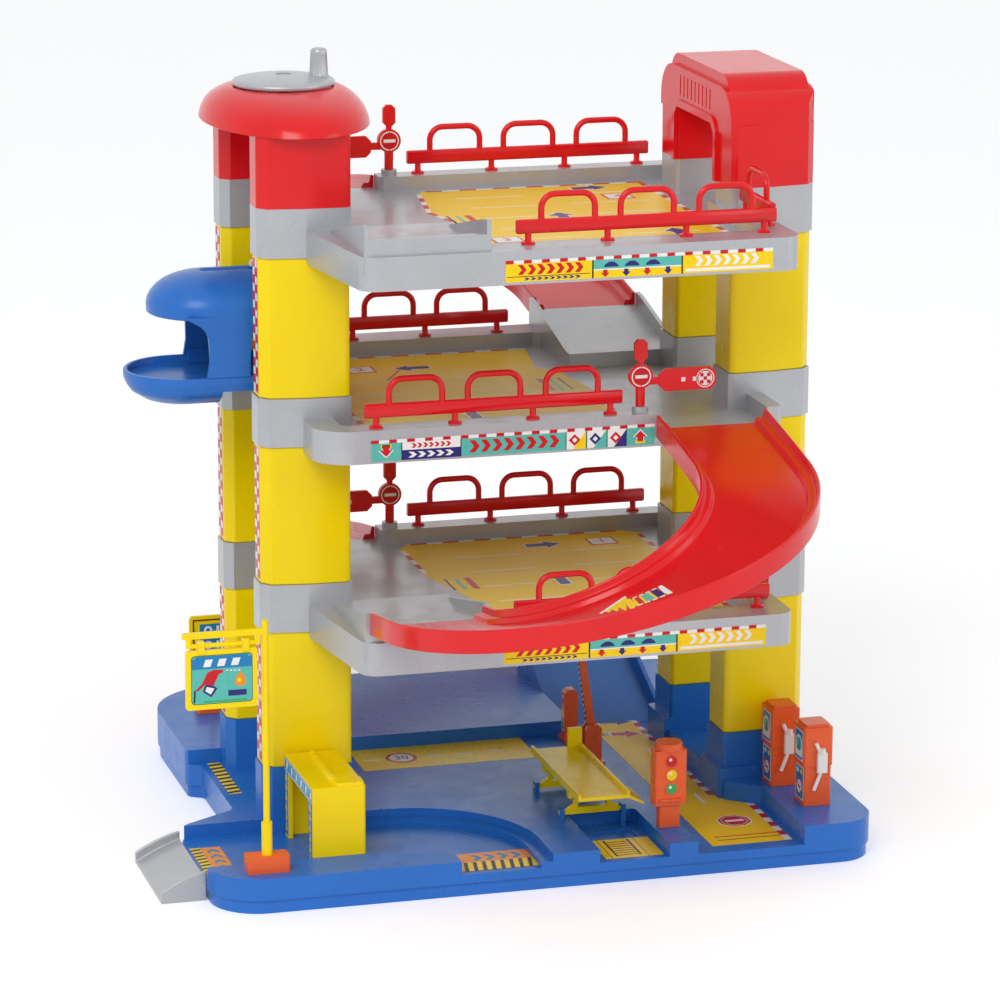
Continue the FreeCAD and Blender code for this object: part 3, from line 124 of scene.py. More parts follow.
def plastic(name, colour, roughness=0.24, metallic=0.0, spread=0.05, coat=0.0, flake=0.0, shine=0.5):
    """Moulded plastic: faint flow marks in the colour, uneven gloss, fine texture and pearl flakes."""
    material, nodes, links, shader = graph(name)
    shader.inputs["Metallic"].default_value = metallic
    shader.inputs["Specular IOR Level"].default_value = shine
    shader.inputs["Coat Weight"].default_value = coat
    shader.inputs["Coat Roughness"].default_value = 0.08
    place = add(nodes, "ShaderNodeTexCoord")
    flow = noise(nodes, links, place, Scale=14.0, Detail=3.0, Roughness=0.5, Distortion=0.8)
    dark = tuple(channel * (1 - spread) for channel in colour)
    light = tuple(min(1.0, channel * (1 + spread)) for channel in colour)
    base = ramp_of(nodes, links, flow, [(0.3, dark), (0.7, light)])
    if flake:
        grains = add(nodes, "ShaderNodeTexVoronoi", Scale=2600.0)
        links.new(place.outputs["Object"], grains.inputs["Vector"])
        glint = ramp_of(nodes, links, grains.outputs["Color"], [(0.0, 1 - flake), (1.0, 1 + flake)])
        mixed = add(nodes, "ShaderNodeMix", data_type="RGBA", blend_type="MULTIPLY")
        mixed.inputs[0].default_value = 1.0
        links.new(base, mixed.inputs[6])
        links.new(glint, mixed.inputs[7])
        base = mixed.outputs[2]
    links.new(base, shader.inputs["Base Color"])
    marks = noise(nodes, links, place, Scale=60.0, Detail=6.0, Roughness=0.65, Distortion=0.4)
    gloss = ramp_of(nodes, links, marks,
                    [(0.35, roughness * 0.85), (0.62, roughness * 1.1), (0.8, roughness * 1.7)])
    links.new(gloss, shader.inputs["Roughness"])
    fine = add(nodes, "ShaderNodeBump", Strength=0.05, Distance=0.0002)
    links.new(noise(nodes, links, place, Scale=850.0, Detail=2.0), fine.inputs["Height"])
    broad = add(nodes, "ShaderNodeBump", Strength=0.08, Distance=0.001)
    links.new(noise(nodes, links, place, Scale=38.0, Detail=1.0), broad.inputs["Height"])
    links.new(fine.outputs["Normal"], broad.inputs["Normal"])
    links.new(broad.outputs["Normal"], shader.inputs["Normal"])
    return material


SECOND_BRICK = (1.0, 0.95, 0.85)
MORTAR = (0.92, 0.74, 0.4)


def tinted(colour, factors):
    return tuple(channel * factor for channel, factor in zip(colour, factors))


def ink(name, colour, brick=False, roughness=0.3):
    """Printed film: slight ink mottling, and a paved pattern for the road prints."""
    material, nodes, links, shader = graph(name)
    shader.inputs["Specular IOR Level"].default_value = 0.3
    place = add(nodes, "ShaderNodeTexCoord")
    mottle = noise(nodes, links, place, Scale=300.0, Detail=3.0)
    base = ramp_of(nodes, links, mottle, [(0.3, tuple(c * 0.94 for c in colour)), (0.7, colour)])
    if brick:
        paving = add(nodes, "ShaderNodeTexBrick", Scale=1.0)
        paving.inputs["Color1"].default_value = colour4(colour)
        paving.inputs["Color2"].default_value = colour4(tinted(colour, SECOND_BRICK))
        paving.inputs["Mortar"].default_value = colour4(tinted(colour, MORTAR))
        paving.inputs["Mortar Size"].default_value = 0.0003
        paving.inputs["Brick Width"].default_value = 0.0042
        paving.inputs["Row Height"].default_value = 0.0021
        paving.inputs["Bias"].default_value = -0.3
        links.new(place.outputs["Object"], paving.inputs["Vector"])
        mixed = add(nodes, "ShaderNodeMix", data_type="RGBA")
        mixed.inputs[0].default_value = 0.75
        links.new(base, mixed.inputs[6])
        links.new(paving.outputs["Color"], mixed.inputs[7])
        base = mixed.outputs[2]
    links.new(base, shader.inputs["Base Color"])
    gloss = ramp_of(nodes, links, mottle, [(0.3, roughness * 0.85), (0.75, roughness * 1.25)])
    links.new(gloss, shader.inputs["Roughness"])
    return material


SILVER = linear(178, 180, 184)
RED = linear(226, 18, 26)
YELLOW = linear(255, 222, 0)
BLUE = linear(40, 112, 200)
ORANGE = linear(240, 98, 44)
WHITE = linear(240, 240, 236)

plastics = {
    "blue": plastic("blue_plastic", BLUE, roughness=0.3, shine=0.32),
    "silver": plastic("silver_plastic", SILVER, roughness=0.33, metallic=0.35, flake=0.12, coat=0.15),
    "red": plastic("red_plastic", RED, roughness=0.2, shine=0.36),
    "yellow": plastic("yellow_plastic", YELLOW, roughness=0.26, spread=0.03, shine=0.26),
    "orange": plastic("orange_plastic", ORANGE, roughness=0.28, shine=0.36),
    "white": plastic("white_plastic", WHITE, roughness=0.3, spread=0.03),
    "screw": plastic("screw_steel", (0.45, 0.45, 0.46), roughness=0.35, metallic=1.0),
}
inks = {
    "red": ink("ink_red", linear(208, 22, 34)),
    "white": ink("ink_white", linear(244, 244, 240)),
    "yellow": ink("ink_yellow", linear(255, 216, 10)),
    "teal": ink("ink_teal", linear(92, 192, 178)),
    "navy": ink("ink_navy", linear(42, 40, 120)),
    "black": ink("ink_black", linear(28, 28, 32)),
    "orange": ink("ink_orange", linear(245, 150, 40)),
    "green": ink("ink_green", linear(60, 176, 92)),
    "sky": ink("ink_sky", linear(30, 130, 190)),
    "brown": ink("ink_brown", linear(104, 62, 40)),
    "paving": ink("ink_paving", linear(255, 216, 0), brick=True, roughness=0.36),
}


# Meshes
def placed(name, data):
    """New object of the scene."""
    piece = bpy.data.objects.new(name, data)
    bpy.context.scene.collection.objects.link(piece)
    return piece


def show(name, mesh, body, slot, smooth_angle=35):
    """Puts a finished mesh into the scene on its body."""
    piece = placed(name, mesh)
    mesh.shade_smooth()
    mesh.set_sharp_from_angle(angle=math.radians(smooth_angle))
    if not mesh.materials:
        mesh.materials.append(plastics[slot])
    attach(piece, body)
    return piece


def soften(piece, width, segments=2, angle=32):
    """Rounds the moulded edges and keeps the flat faces flat in shade."""
    bevel = piece.modifiers.new("edges", "BEVEL")
    bevel.width = width * MM
    bevel.segments = segments
    bevel.limit_method = "ANGLE"
    bevel.angle_limit = math.radians(angle)
    bevel.use_clamp_overlap = True
    bevel.miter_outer = "MITER_ARC"
    weighted = piece.modifiers.new("shade", "WEIGHTED_NORMAL")
    weighted.keep_sharp = False
    weighted.weight = 60
    return piece


def body_of(node):
    for body, members in frame["record"]["behaviour"]["bodies"].items():
        if node in members:
            return body


def slot_of(node):
    return {row["node"]: row["material_slot"] for row in frame["record"]["subparts"]}[node]


def moulded(node, width=0.6, segments=2, flat_angle=1.0):
    """The CAD node with its edges rounded as a mould leaves them."""
    mesh = frame["nodes"][node].data.copy()
    mesh.materials.clear()
    grid = bmesh.new()
    grid.from_mesh(mesh)
    bmesh.ops.remove_doubles(grid, verts=grid.verts, dist=0.00002)
    bmesh.ops.dissolve_limit(grid, angle_limit=math.radians(flat_angle), verts=grid.verts, edges=grid.edges)
    grid.to_mesh(mesh)
    grid.free()
    slot = slot_of(node)
    piece = show(f"{node}_moulding", mesh, body_of(node), slot)
    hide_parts(node)
    return soften(piece, width, segments)


def from_faces(name, points, faces):
    mesh = bpy.data.meshes.new(name)
    mesh.from_pydata([Vector(point) * MM for point in points], [], faces)
    grid = bmesh.new()
    grid.from_mesh(mesh)
    bmesh.ops.recalc_face_normals(grid, faces=grid.faces)
    grid.to_mesh(mesh)
    grid.free()
    return mesh


def loft_mesh(name, rings, capped=True):
    """Closed rings of equal count joined by quads."""
    count = len(rings[0])
    points = [point for ring in rings for point in ring]
    faces = []
    for level in range(len(rings) - 1):
        for index in range(count):
            after = (index + 1) % count
            faces.append((level * count + index, level * count + after,
                          (level + 1) * count + after, (level + 1) * count + index))
    if capped:
        faces.append(tuple(reversed(range(count))))
        faces.append(tuple(range((len(rings) - 1) * count, len(rings) * count)))
    return from_faces(name, points, faces)


def joined(name, meshes):
    """One mesh made of several."""
    grid = bmesh.new()
    for mesh in meshes:
        grid.from_mesh(mesh)
    whole = bpy.data.meshes.new(name)
    grid.to_mesh(whole)
    grid.free()
    return whole


def tube_mesh(name, path, radius, sides=12):
    """Round bar along a path of points."""
    points = [Vector(point) for point in path]
    rings = []
    side = None
    for index, point in enumerate(points):
        before, after = points[max(index - 1, 0)], points[min(index + 1, len(points) - 1)]
        along = (after - before).normalized()
        if side is None:
            side = along.orthogonal().normalized()
        side = (side - along * side.dot(along)).normalized()
        up = along.cross(side)
        rings.append([point + (side * math.cos(a) + up * math.sin(a)) * radius
                      for a in (2 * math.pi * step / sides for step in range(sides))])
    return loft_mesh(name, rings)


def box_mesh(name, low, high):
    x0, y0, z0 = low
    x1, y1, z1 = high
    ring = [(x0, y0), (x1, y0), (x1, y1), (x0, y1)]
    return loft_mesh(name, [[Vector((x, y, z)) for x, y in ring] for z in (z0, z1)])


def arc_points(centre, radius, start, end, steps):
    """Points on an arc in the plane, from angle to angle in degrees."""
    angles = [math.radians(start + (end - start) * step / steps) for step in range(steps + 1)]
    return [(centre[0] + radius * math.cos(a), centre[1] + radius * math.sin(a)) for a in angles]


def turn_about_tower(mesh, lift=0.0):
    mesh.transform(Matrix.Translation((0, 0, lift * MM)) @ Matrix.Rotation(math.pi, 4, "Z"))
    return mesh


# Prints
class Print:
    """Thin printed film on a surface; later layers lie a hair higher."""

    FILM = 0.12
    LAYER = 0.05
    SINK = 0.05

    def __init__(self, place):
        self.place = place
        self.points, self.faces, self.colours = [], [], []

    def poly(self, outline, colour, layer=0):
        """Filled outline in the film's own plane."""
        top = self.FILM + self.LAYER * layer
        start, count = len(self.points), len(outline)
        for height in (-self.SINK, top):
            self.points += [self.place(u, v, height) for u, v in outline]
        self.faces.append([start + count + index for index in range(count)])
        self.faces.append([start + index for index in reversed(range(count))])
        for index in range(count):
            after = (index + 1) % count
            self.faces.append([start + index, start + after, start + count + after, start + count + index])
        self.colours += [colour] * (count + 2)

    def rect(self, u0, v0, u1, v1, colour, layer=0, steps=1):
        """Rectangle, cut into steps along v where the surface curves."""
        for step in range(steps):
            a = v0 + (v1 - v0) * step / steps
            b = v0 + (v1 - v0) * (step + 1) / steps
            self.poly([(u0, a), (u1, a), (u1, b), (u0, b)], colour, layer)

    def disc(self, u, v, radius, colour, layer=0, squeeze=1.0, sides=36):
        rim = arc_points((u, v), radius, 0, 360 - 360 / sides, sides - 1)
        self.poly([(x, v + (y - v) * squeeze) for x, y in rim], colour, layer)

    def line(self, start, end, width, colour, layer=0):
        a, b = Vector(start), Vector(end)
        side = Vector((a.y - b.y, b.x - a.x)).normalized() * width / 2
        self.poly([tuple(a - side), tuple(b - side), tuple(b + side), tuple(a + side)], colour, layer)

    def arrow(self, tail, tip, width, colour, layer=0):
        """Fat arrow from tail to tip."""
        a, b = Vector(tail), Vector(tip)
        along = (b - a).normalized()
        side = Vector((-along.y, along.x))
        neck = b - along * width * 0.8
        outline = [a - side * width * 0.28, neck - side * width * 0.28, neck - side * width * 0.62, b,
                   neck + side * width * 0.62, neck + side * width * 0.28, a + side * width * 0.28]
        self.poly([tuple(point) for point in outline], colour, layer)

    def dashes(self, start, end, width, length, first, second, layer=0):
        """Border strip in two alternating colours."""
        a, b = Vector(start), Vector(end)
        count = max(1, round((b - a).length / length))
        for index in range(count):
            low, high = a.lerp(b, index / count), a.lerp(b, (index + 1) / count)
            self.line(low, high, width, second if index % 2 else first, layer)

    def number(self, text, u, v, height, colour, layer=0):
        """Plain number centred on a point."""
        curve = bpy.data.curves.new("figure", "FONT")
        curve.body = text
        curve.size = height * 1.4
        curve.align_x, curve.align_y = "CENTER", "CENTER"
        figure = bpy.data.objects.new("figure", curve)
        mesh = bpy.data.meshes.new_from_object(figure)
        for face in mesh.polygons:
            outline = []
            for index in face.vertices:
                point = mesh.vertices[index].co
                outline.append((point.x + u, point.y + v))
            self.poly(outline, colour, layer)
        bpy.data.objects.remove(figure)
        bpy.data.curves.remove(curve)
        bpy.data.meshes.remove(mesh)

    def finish(self, name, body="garage", slot="white"):
        mesh = from_faces(name, self.points, self.faces)
        names = sorted(set(self.colours))
        for colour in names:
            mesh.materials.append(inks[colour])
        for face, colour in zip(mesh.polygons, self.colours):
            face.material_index = names.index(colour)
        piece = placed(name, mesh)
        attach(piece, body)
        return piece


def plane(origin, across, up):
    """Place function of a flat surface; the film faces across x up."""
    start, u_axis, v_axis = Vector(origin), Vector(across).normalized(), Vector(up).normalized()
    normal = u_axis.cross(v_axis)
    return lambda u, v, height: start + u_axis * u + v_axis * v + normal * height


FRONT = ((1, 0, 0), (0, 0, 1))
LEFT = ((0, -1, 0), (0, 0, 1))
TOP = ((1, 0, 0), (0, 1, 0))


# Kept mouldings
DECK_FLOOR = 12.0
LEVEL_RISE = (cad("deck_2")[0] - cad("deck_1")[0]).z


def deck_low(level):
    return cad(f"deck_{level}")[0].z


def make_mouldings():
    moulded("base_tray", 1.2, 3)
    moulded("entry_ramp", 0.6)
    for level in LEVELS:
        moulded(f"deck_{level}", 1.1, 3)
        for corner in ("front_left", "rear_left", "front_right", "rear_right"):
            moulded(f"sleeve_{corner}_{level}", 1.2, 3)
        moulded(f"swing_sign_{level}", 0.5)
    moulded("portal_cap", 1.4, 3)
    for node in ("cord_ring", "cord_drum", "crank_screw"):
        moulded(node, 0.3)
    for node in ("hoist_rear_legs", "hoist_front_legs", "hoist_platform", "gas_sign_base", "gas_sign_post",
                 "gas_sign_panel", "side_sign_base", "side_sign_board", "barrier_posts", "barrier_arm",
                 "traffic_light", "pump_nozzle_1", "pump_nozzle_2"):
        moulded(node, 0.4)
    for node in ("car_wash", "pump_1", "pump_2"):
        moulded(node, 0.7)


# Ramps
RAMP_TURN = 104.5
LANE = 77.0
RAMP_START = -118.0
RAMP_BEND = -200.0
RAMP_LANDING = -174.0
LANDING_RISE = 21.0
RAMP_LOWER_END = 50.0
STRAIGHT_STEPS, TURN_STEPS = 8, 72


def ramp_profile():
    """Channel section: rounded rims, two-step kerbs and the sunk road."""
    half, wall, side, kerb, skirt, plate = LANE / 2, 2.5, 9.0, 5.0, 6.0, 2.5
    left = [(-half, -skirt), (-half, side - 1), (-half + 0.4, side - 0.25), (-half + 1.1, side),
            (-half + 1.6, side), (-half + 2.2, side - 0.4), (-half + wall, side - 1.2),
            (-half + wall + 0.7, 4.4), (-half + wall + 1.6, 3.5), (-half + wall + kerb - 0.6, 3.5),
            (-half + wall + kerb + 0.2, 3.1), (-half + wall + kerb + 1.2, 0.4), (-half + wall + kerb + 2, 0)]
    under = [(half, -skirt), (half - wall, -skirt), (half - wall, -plate), (-half + wall, -plate),
             (-half + wall, -skirt)]
    return left + [(-u, w) for u, w in reversed(left[1:])] + under


def ramp_stations(short_leg):
    """Centre points with their headings, and the length travelled to each."""
    stations = []
    for step in range(STRAIGHT_STEPS):
        y = RAMP_START + (RAMP_BEND - RAMP_START) * step / STRAIGHT_STEPS
        stations.append((Vector((RAMP_TURN, y, 0)), 0.0))
    for index in range(TURN_STEPS + 1):
        angle = math.pi * index / TURN_STEPS
        centre = Vector((RAMP_TURN * math.cos(angle), RAMP_BEND - RAMP_TURN * math.sin(angle), 0))
        stations.append((centre, -angle))
    if short_leg:
        stations.append((Vector((-RAMP_TURN, RAMP_LANDING, 0)), -math.pi))
    lengths = [0.0]
    for (before, _), (after, _) in zip(stations, stations[1:]):
        lengths.append(lengths[-1] + (after - before).length)
    return stations, lengths


def ramp_height(start_z, end_z, share):
    eased = share - 0.35 * math.sin(2 * math.pi * share) / (2 * math.pi)
    return start_z + (end_z - start_z) * eased


def ramp_mesh(name, start_z, end_z, short_leg):
    stations, lengths = ramp_stations(short_leg)
    rings = []
    for (centre, heading), length in zip(stations, lengths):
        z = ramp_height(start_z, end_z, length / lengths[-1])
        across = Vector((math.cos(heading), math.sin(heading), 0))
        rings.append([centre + across * u + Vector((0, 0, z + w)) for u, w in ramp_profile()])
    return loft_mesh(name, rings)


def make_ramps():
    floor = deck_low(1) + DECK_FLOOR
    long_drop = (floor + LEVEL_RISE, floor + LANDING_RISE, True)
    pieces = {
        "ramp_middle": ramp_mesh("ramp_middle_road", *long_drop),
        "ramp_upper": turn_about_tower(ramp_mesh("ramp_upper_road", *long_drop), LEVEL_RISE),
        "ramp_lower": turn_about_tower(ramp_mesh("ramp_lower_road", floor, RAMP_LOWER_END, False)),
    }
    for node, mesh in pieces.items():
        piece = show(f"{node}_road", mesh, "garage", "red", 50)
        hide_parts(node)
        soften(piece, 0.3, 1, 60)


def ramp_place(u, v, height):
    """Place on the front ramp's road: u across, v travelled length."""
    stations, lengths = ramp_stations(True)
    floor = deck_low(1) + DECK_FLOOR
    for index in range(len(lengths) - 1):
        if lengths[index + 1] >= v:
            break
    share = (v - lengths[index]) / (lengths[index + 1] - lengths[index])
    (a, heading_a), (b, heading_b) = stations[index], stations[index + 1]
    centre, heading = a.lerp(b, share), heading_a + (heading_b - heading_a) * share
    z = ramp_height(floor + LEVEL_RISE, floor + LANDING_RISE, v / lengths[-1])
    return centre + Vector((math.cos(heading), math.sin(heading), 0)) * u + Vector((0, 0, z + height))


# Rails
RAIL_BAR_LOW, RAIL_BAR_HIGH, RAIL_TOP = 7.0, 16.0, 34.0
RAIL_TUBE = 2.1
FOOT_HALF = 3.4


def rail_mesh(name, loops, pitch, loop=40.0):
    """Rail along X from its first foot: bar with rounded edges, bent tube loops, posts on small flanges."""
    parts = []
    span = loops * pitch
    half = 2.2
    bar_low, bar_high = RAIL_BAR_LOW, RAIL_BAR_HIGH
    section = [(-half, bar_low + 0.8), (-half + 0.8, bar_low), (half - 0.8, bar_low), (half, bar_low + 0.8),
               (half, bar_high - 0.8), (half - 0.8, bar_high), (-half + 0.8, bar_high),
               (-half, bar_high - 0.8)]
    middle_z = (bar_low + bar_high) / 2
    ends = []
    for x, shrink in ((-8, 0.8), (-7.4, 1.0), (span + 7.4, 1.0), (span + 8, 0.8)):
        ends.append([Vector((x, y * shrink, middle_z + (z - middle_z) * (0.9 if shrink < 1 else 1.0)))
                     for y, z in section])
    parts.append(loft_mesh(name, ends))
    corner = 9.0
    for index in range(loops):
        middle = (index + 0.5) * pitch
        left, right = middle - loop / 2 + RAIL_TUBE, middle + loop / 2 - RAIL_TUBE
        top = RAIL_TOP - RAIL_TUBE
        plan = [(left, bar_high - 1)]
        plan += arc_points((left + corner, top - corner), corner, 180, 90, 8)
        plan += arc_points((right - corner, top - corner), corner, 90, 0, 8)
        plan += [(right, bar_high - 1)]
        parts.append(tube_mesh(name, [(x, 0, z) for x, z in plan], RAIL_TUBE, 14))
    for index in range(loops + 1):
        x = index * pitch
        rings = []
        for radius, z in ((4.6, 0), (4.6, 1.0), (4.2, 1.5), (2.4, 1.9), (2.1, 3.0), (2.1, bar_low + 0.5)):
            rim = arc_points((0, 0), radius, 0, 337.5, 15)
            rings.append([Vector((x + a, min(max(b, -FOOT_HALF), FOOT_HALF), z)) for a, b in rim])
        parts.append(loft_mesh(name, rings))
    return joined(name, parts)


def make_rails():
    for level in LEVELS:
        for side in ("front", "rear", "side"):
            node = f"rail_{side}_{level}"
            low, high = cad(node)
            name = f"{node}_bar"
            if side == "side":
                pitch = high.y - low.y - 16
                mesh = rail_mesh(name, 1, pitch)
                mesh.transform(Matrix.Rotation(math.pi / 2, 4, "Z"))
                start = Vector(((low.x + high.x) / 2, low.y + 8, low.z))
            else:
                pitch = (high.x - low.x - 16) / 3
                mesh = rail_mesh(name, 3, pitch)
                start = Vector((low.x + 8, (low.y + high.y) / 2, low.z))
            mesh.transform(Matrix.Translation(start * MM))
            piece = show(name, mesh, "garage", "red", 40)
            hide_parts(node)


# Right cap
PORTAL_ROUND = 24.0
PORTAL_WALL_LOW = 474.0


def make_portal_corners():
    """Chamfered wall at the outer corners of the right cap, above the columns' bores."""
    high = cad("portal_cap")[1]
    crown_top, round_by, wall_low = high.z - 8, PORTAL_ROUND, PORTAL_WALL_LOW
    corner = [(189.0, 62.0), (190.8, 62.0), (190.8, 65.0), (184.9, 71.8), (172.0, 73.9), (172.0, 71.6),
              (184.0, 69.6), (189.0, 63.8)]
    for name, side in (("front", -1), ("rear", 1)):
        rings = []
        for step in range(9):
            z = wall_low + (crown_top - 4 - wall_low) * step / 8
            above = max(0.0, z - (crown_top - round_by))
            reach = high.y - 1 - round_by + math.sqrt(round_by ** 2 - above ** 2) - 0.1
            rings.append([Vector((x, side * min(y, reach), z)) for x, y in corner])
        show(f"portal_corner_{name}", loft_mesh("corner", rings), "garage", "red", 35)


# Lift cabin
CABIN_HALF, CABIN_RIGHT = 40.0, -160.0
CABIN_WALL = 3.0
BOWL_DEPTH = 14.0
LANDING_EDGE, LANDING_CLEAR = 206.0, 2.0
CANOPY_LOW, CANOPY_TOP = 359.0, 386.0
SILL_STEP = 4.4
DOME_STEPS = ((0.22, 0.0), (0.36, 0.9), (0.5, 3.0), (0.64, 6.2), (0.77, 11.0), (0.86, 16.2), (0.93, 22.0),
              (0.975, 28.0), (0.995, 33.0), (1.0, 35.5))


def cabin_ring(inset, z, right_inset, left_end, steps=40):
    """Plan of the cabin: round end outside, straight end in the lift gap."""
    right, half = CABIN_RIGHT - right_inset, CABIN_HALF - inset
    centre = left_end + CABIN_HALF
    ring = [Vector((right, -half + 1, z)), Vector((right, half - 1, z)), Vector((right - 1, half, z))]
    for index in range(steps + 1):
        angle = math.pi * (0.5 + index / steps)
        ring.append(Vector((centre + half * math.cos(angle), half * math.sin(angle), z)))
    return ring + [Vector((right - 1, -half, z))]


def smooth_dome(low, rise, inset, sink, right_inset, left_end):
    """Rings of the canopy shell, from its rim to the flat top."""
    rings = [cabin_ring(inset + 1, low, right_inset, left_end),
             cabin_ring(inset + 0.2, low + 0.6, right_inset, left_end)]
    for share, step in DOME_STEPS:
        rings.append(cabin_ring(inset + step, low + rise * share - sink, right_inset, left_end))
    return rings


def make_lift_tray():
    """Shallow bowl; its underside ends short of the base's landing."""
    low, high = cad("lift_tray")
    left, floor, rim, wall = low.x, low.z + BOWL_DEPTH, high.z, CABIN_WALL
    sill = -LANDING_EDGE - LANDING_CLEAR
    outside = [(16, low.z), (12.5, low.z + 1.2), (8.5, low.z + 4), (5.0, floor - 8), (2.2, floor - 4)]
    upper = [(2.2, floor - 3.9), (0.3, floor), (0, floor + 2), (0, rim - 0.8), (0.7, rim)]
    inside = [(wall - 0.5, rim), (wall, rim - 0.6), (wall + 0.3, floor + 0.9), (wall + 1.2, floor)]
    rings = [cabin_ring(inset, z, CABIN_RIGHT - sill, left) for inset, z in outside]
    rings += [cabin_ring(inset, z, 0, left) for inset, z in upper]
    rings += [cabin_ring(inset, z, SILL_STEP, left) for inset, z in inside]
    tray = show("lift_tray_bowl", loft_mesh("tray", rings), "lift", slot_of("lift_tray"), 40)
    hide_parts("lift_tray")


def pillar_meshes(foot):
    """Both pillars of the canopy with their arched inner corner and inner feet."""
    plan = [(-219, foot), (-190, foot), (-189.6, 336), (-188.8, 347), (-187.6, 354), (-185, CANOPY_LOW + 3),
            (-234, CANOPY_LOW + 3), (-228, CANOPY_LOW - 0.4), (-223.4, 356), (-220, 352.6), (-218.2, 349),
            (-217.4, 343), (-217.2, 332)]
    parts = []
    for side in (-1, 1):
        near, far = sorted((side * 37.1, side * 39.9))
        rings = [[Vector((x, y, z)) for x, z in plan] for y in (near, far)]
        parts.append(loft_mesh("pillar", rings))
        near, far = sorted((side * 34.6, side * 37.2))
        parts.append(box_mesh("pillar_foot", (-216, near, foot - 5.9), (-192, far, foot + 4)))
    return parts


def make_canopy():
    low = cad("lift_canopy")[0]
    rise = CANOPY_TOP - CANOPY_LOW
    shell = smooth_dome(CANOPY_LOW, rise, 0, 0, 0, low.x)
    shell += list(reversed(smooth_dome(CANOPY_LOW, rise, CABIN_WALL, 2.1, SILL_STEP, low.x)))
    parts = [loft_mesh("canopy", shell)] + pillar_meshes(low.z + 6)
    parts.append(box_mesh("lug", (-182, -1.8, CANOPY_TOP - 1), (-174, 1.8, CANOPY_TOP + 1.1)))
    canopy = show("lift_canopy_hood", joined("canopy", parts), "lift", slot_of("lift_canopy"), 40)
    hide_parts("lift_canopy")
    soften(canopy, 0.5, 2, 60)


# Lift cap and crank
CAP_CENTRE = Vector((-157.0, 0.0, 0.0))
CAP_SIDES = 96
BRIM_LOW, BRIM_TOP = 485.0, 491.0
CAP_COLUMN_TOP = 487.6
BRIDGE_LOW, BRIDGE_HIGH, BRIDGE_REACH = 490.5, 493.0, 43.0
CRANK_SEAT, CRANK_TOP = 507.8, 514.8
KNOB_OFFSET = 24.0


def cap_ring(semi_x, semi_y, z, centre=CAP_CENTRE, sides=CAP_SIDES):
    return [Vector((centre.x + semi_x * math.cos(a), centre.y + semi_y * math.sin(a), z))
            for a in (2 * math.pi * step / sides for step in range(sides))]


def column_points(side_x, side_y, grow):
    """Outline of a column, as the sleeves have it."""
    inner, outer, near, far = 131.0 - grow, 190.0 + grow, 42.0 - grow, 76.0 + grow
    corners = [(inner, near + 2), (inner + 2, near), (outer - 6, near), (outer, near + 6), (outer, far - 12),
               (outer - 6, far - 5), ((131.0 + 190.0) / 2, far - 1), (inner + 4, far), (inner, far - 2)]
    return [(x * side_x, y * side_y) for x, y in corners]


def make_lift_cap():
    low, high = cad("lift_cap")
    semi_x, semi_y = (high.x - low.x) / 2, (high.y - low.y) / 2
    brim_low, top = BRIM_LOW, high.z
    outer = [(0.965, 0.975, brim_low + 0.6), (0.985, 0.99, brim_low), (1.0, 1.0, brim_low + 0.4)]
    for outward, share in ((0.985, 0.1), (0.955, 0.22), (0.9, 0.36), (0.82, 0.5), (0.7, 0.64), (0.54, 0.77),
                           (0.36, 0.88), (0.2, 0.95), (0.08, 0.99), (0.0, 1.0)):
        outer.append((0.64 + 0.36 * outward, 0.4 + 0.6 * outward, brim_low + (top - brim_low) * share))
    inner = [(0.612, 0.383, top - 0.2), (0.6, 0.376, top - 3), (0.9, 0.88, BRIM_TOP),
             (0.93, 0.95, brim_low + 1)]
    rings = [cap_ring(semi_x * a, semi_y * b, z) for a, b, z in outer + inner]
    piece = show("lift_cap_dome", loft_mesh("cap_dome", rings, capped=False), "garage", "red", 60)
    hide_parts("lift_cap")
    for name, side_y in (("front", -1), ("rear", 1)):
        outline = column_points(-1, side_y, 1.0)
        hollow = column_points(-1, side_y, -2.0)
        rings = [[Vector((x, y, z)) for x, y in ring] for ring, z in
                 ((outline, low.z), (outline, CAP_COLUMN_TOP), (hollow, CAP_COLUMN_TOP), (hollow, low.z))]
        mesh = loft_mesh(f"cap_column_{name}", rings + [rings[0]], capped=False)
        column = show(f"lift_cap_{name}_column", mesh, "garage", "red", 35)
        soften(column, 1.2, 3)
    bridges = [box_mesh("bridge", (left, -BRIDGE_REACH, BRIDGE_LOW), (right, BRIDGE_REACH, BRIDGE_HIGH))
               for left, right in ((-183, -173), (-164, -150))]
    soften(show("lift_cap_bridge", joined("bridges", bridges), "garage", "red"), 0.4)


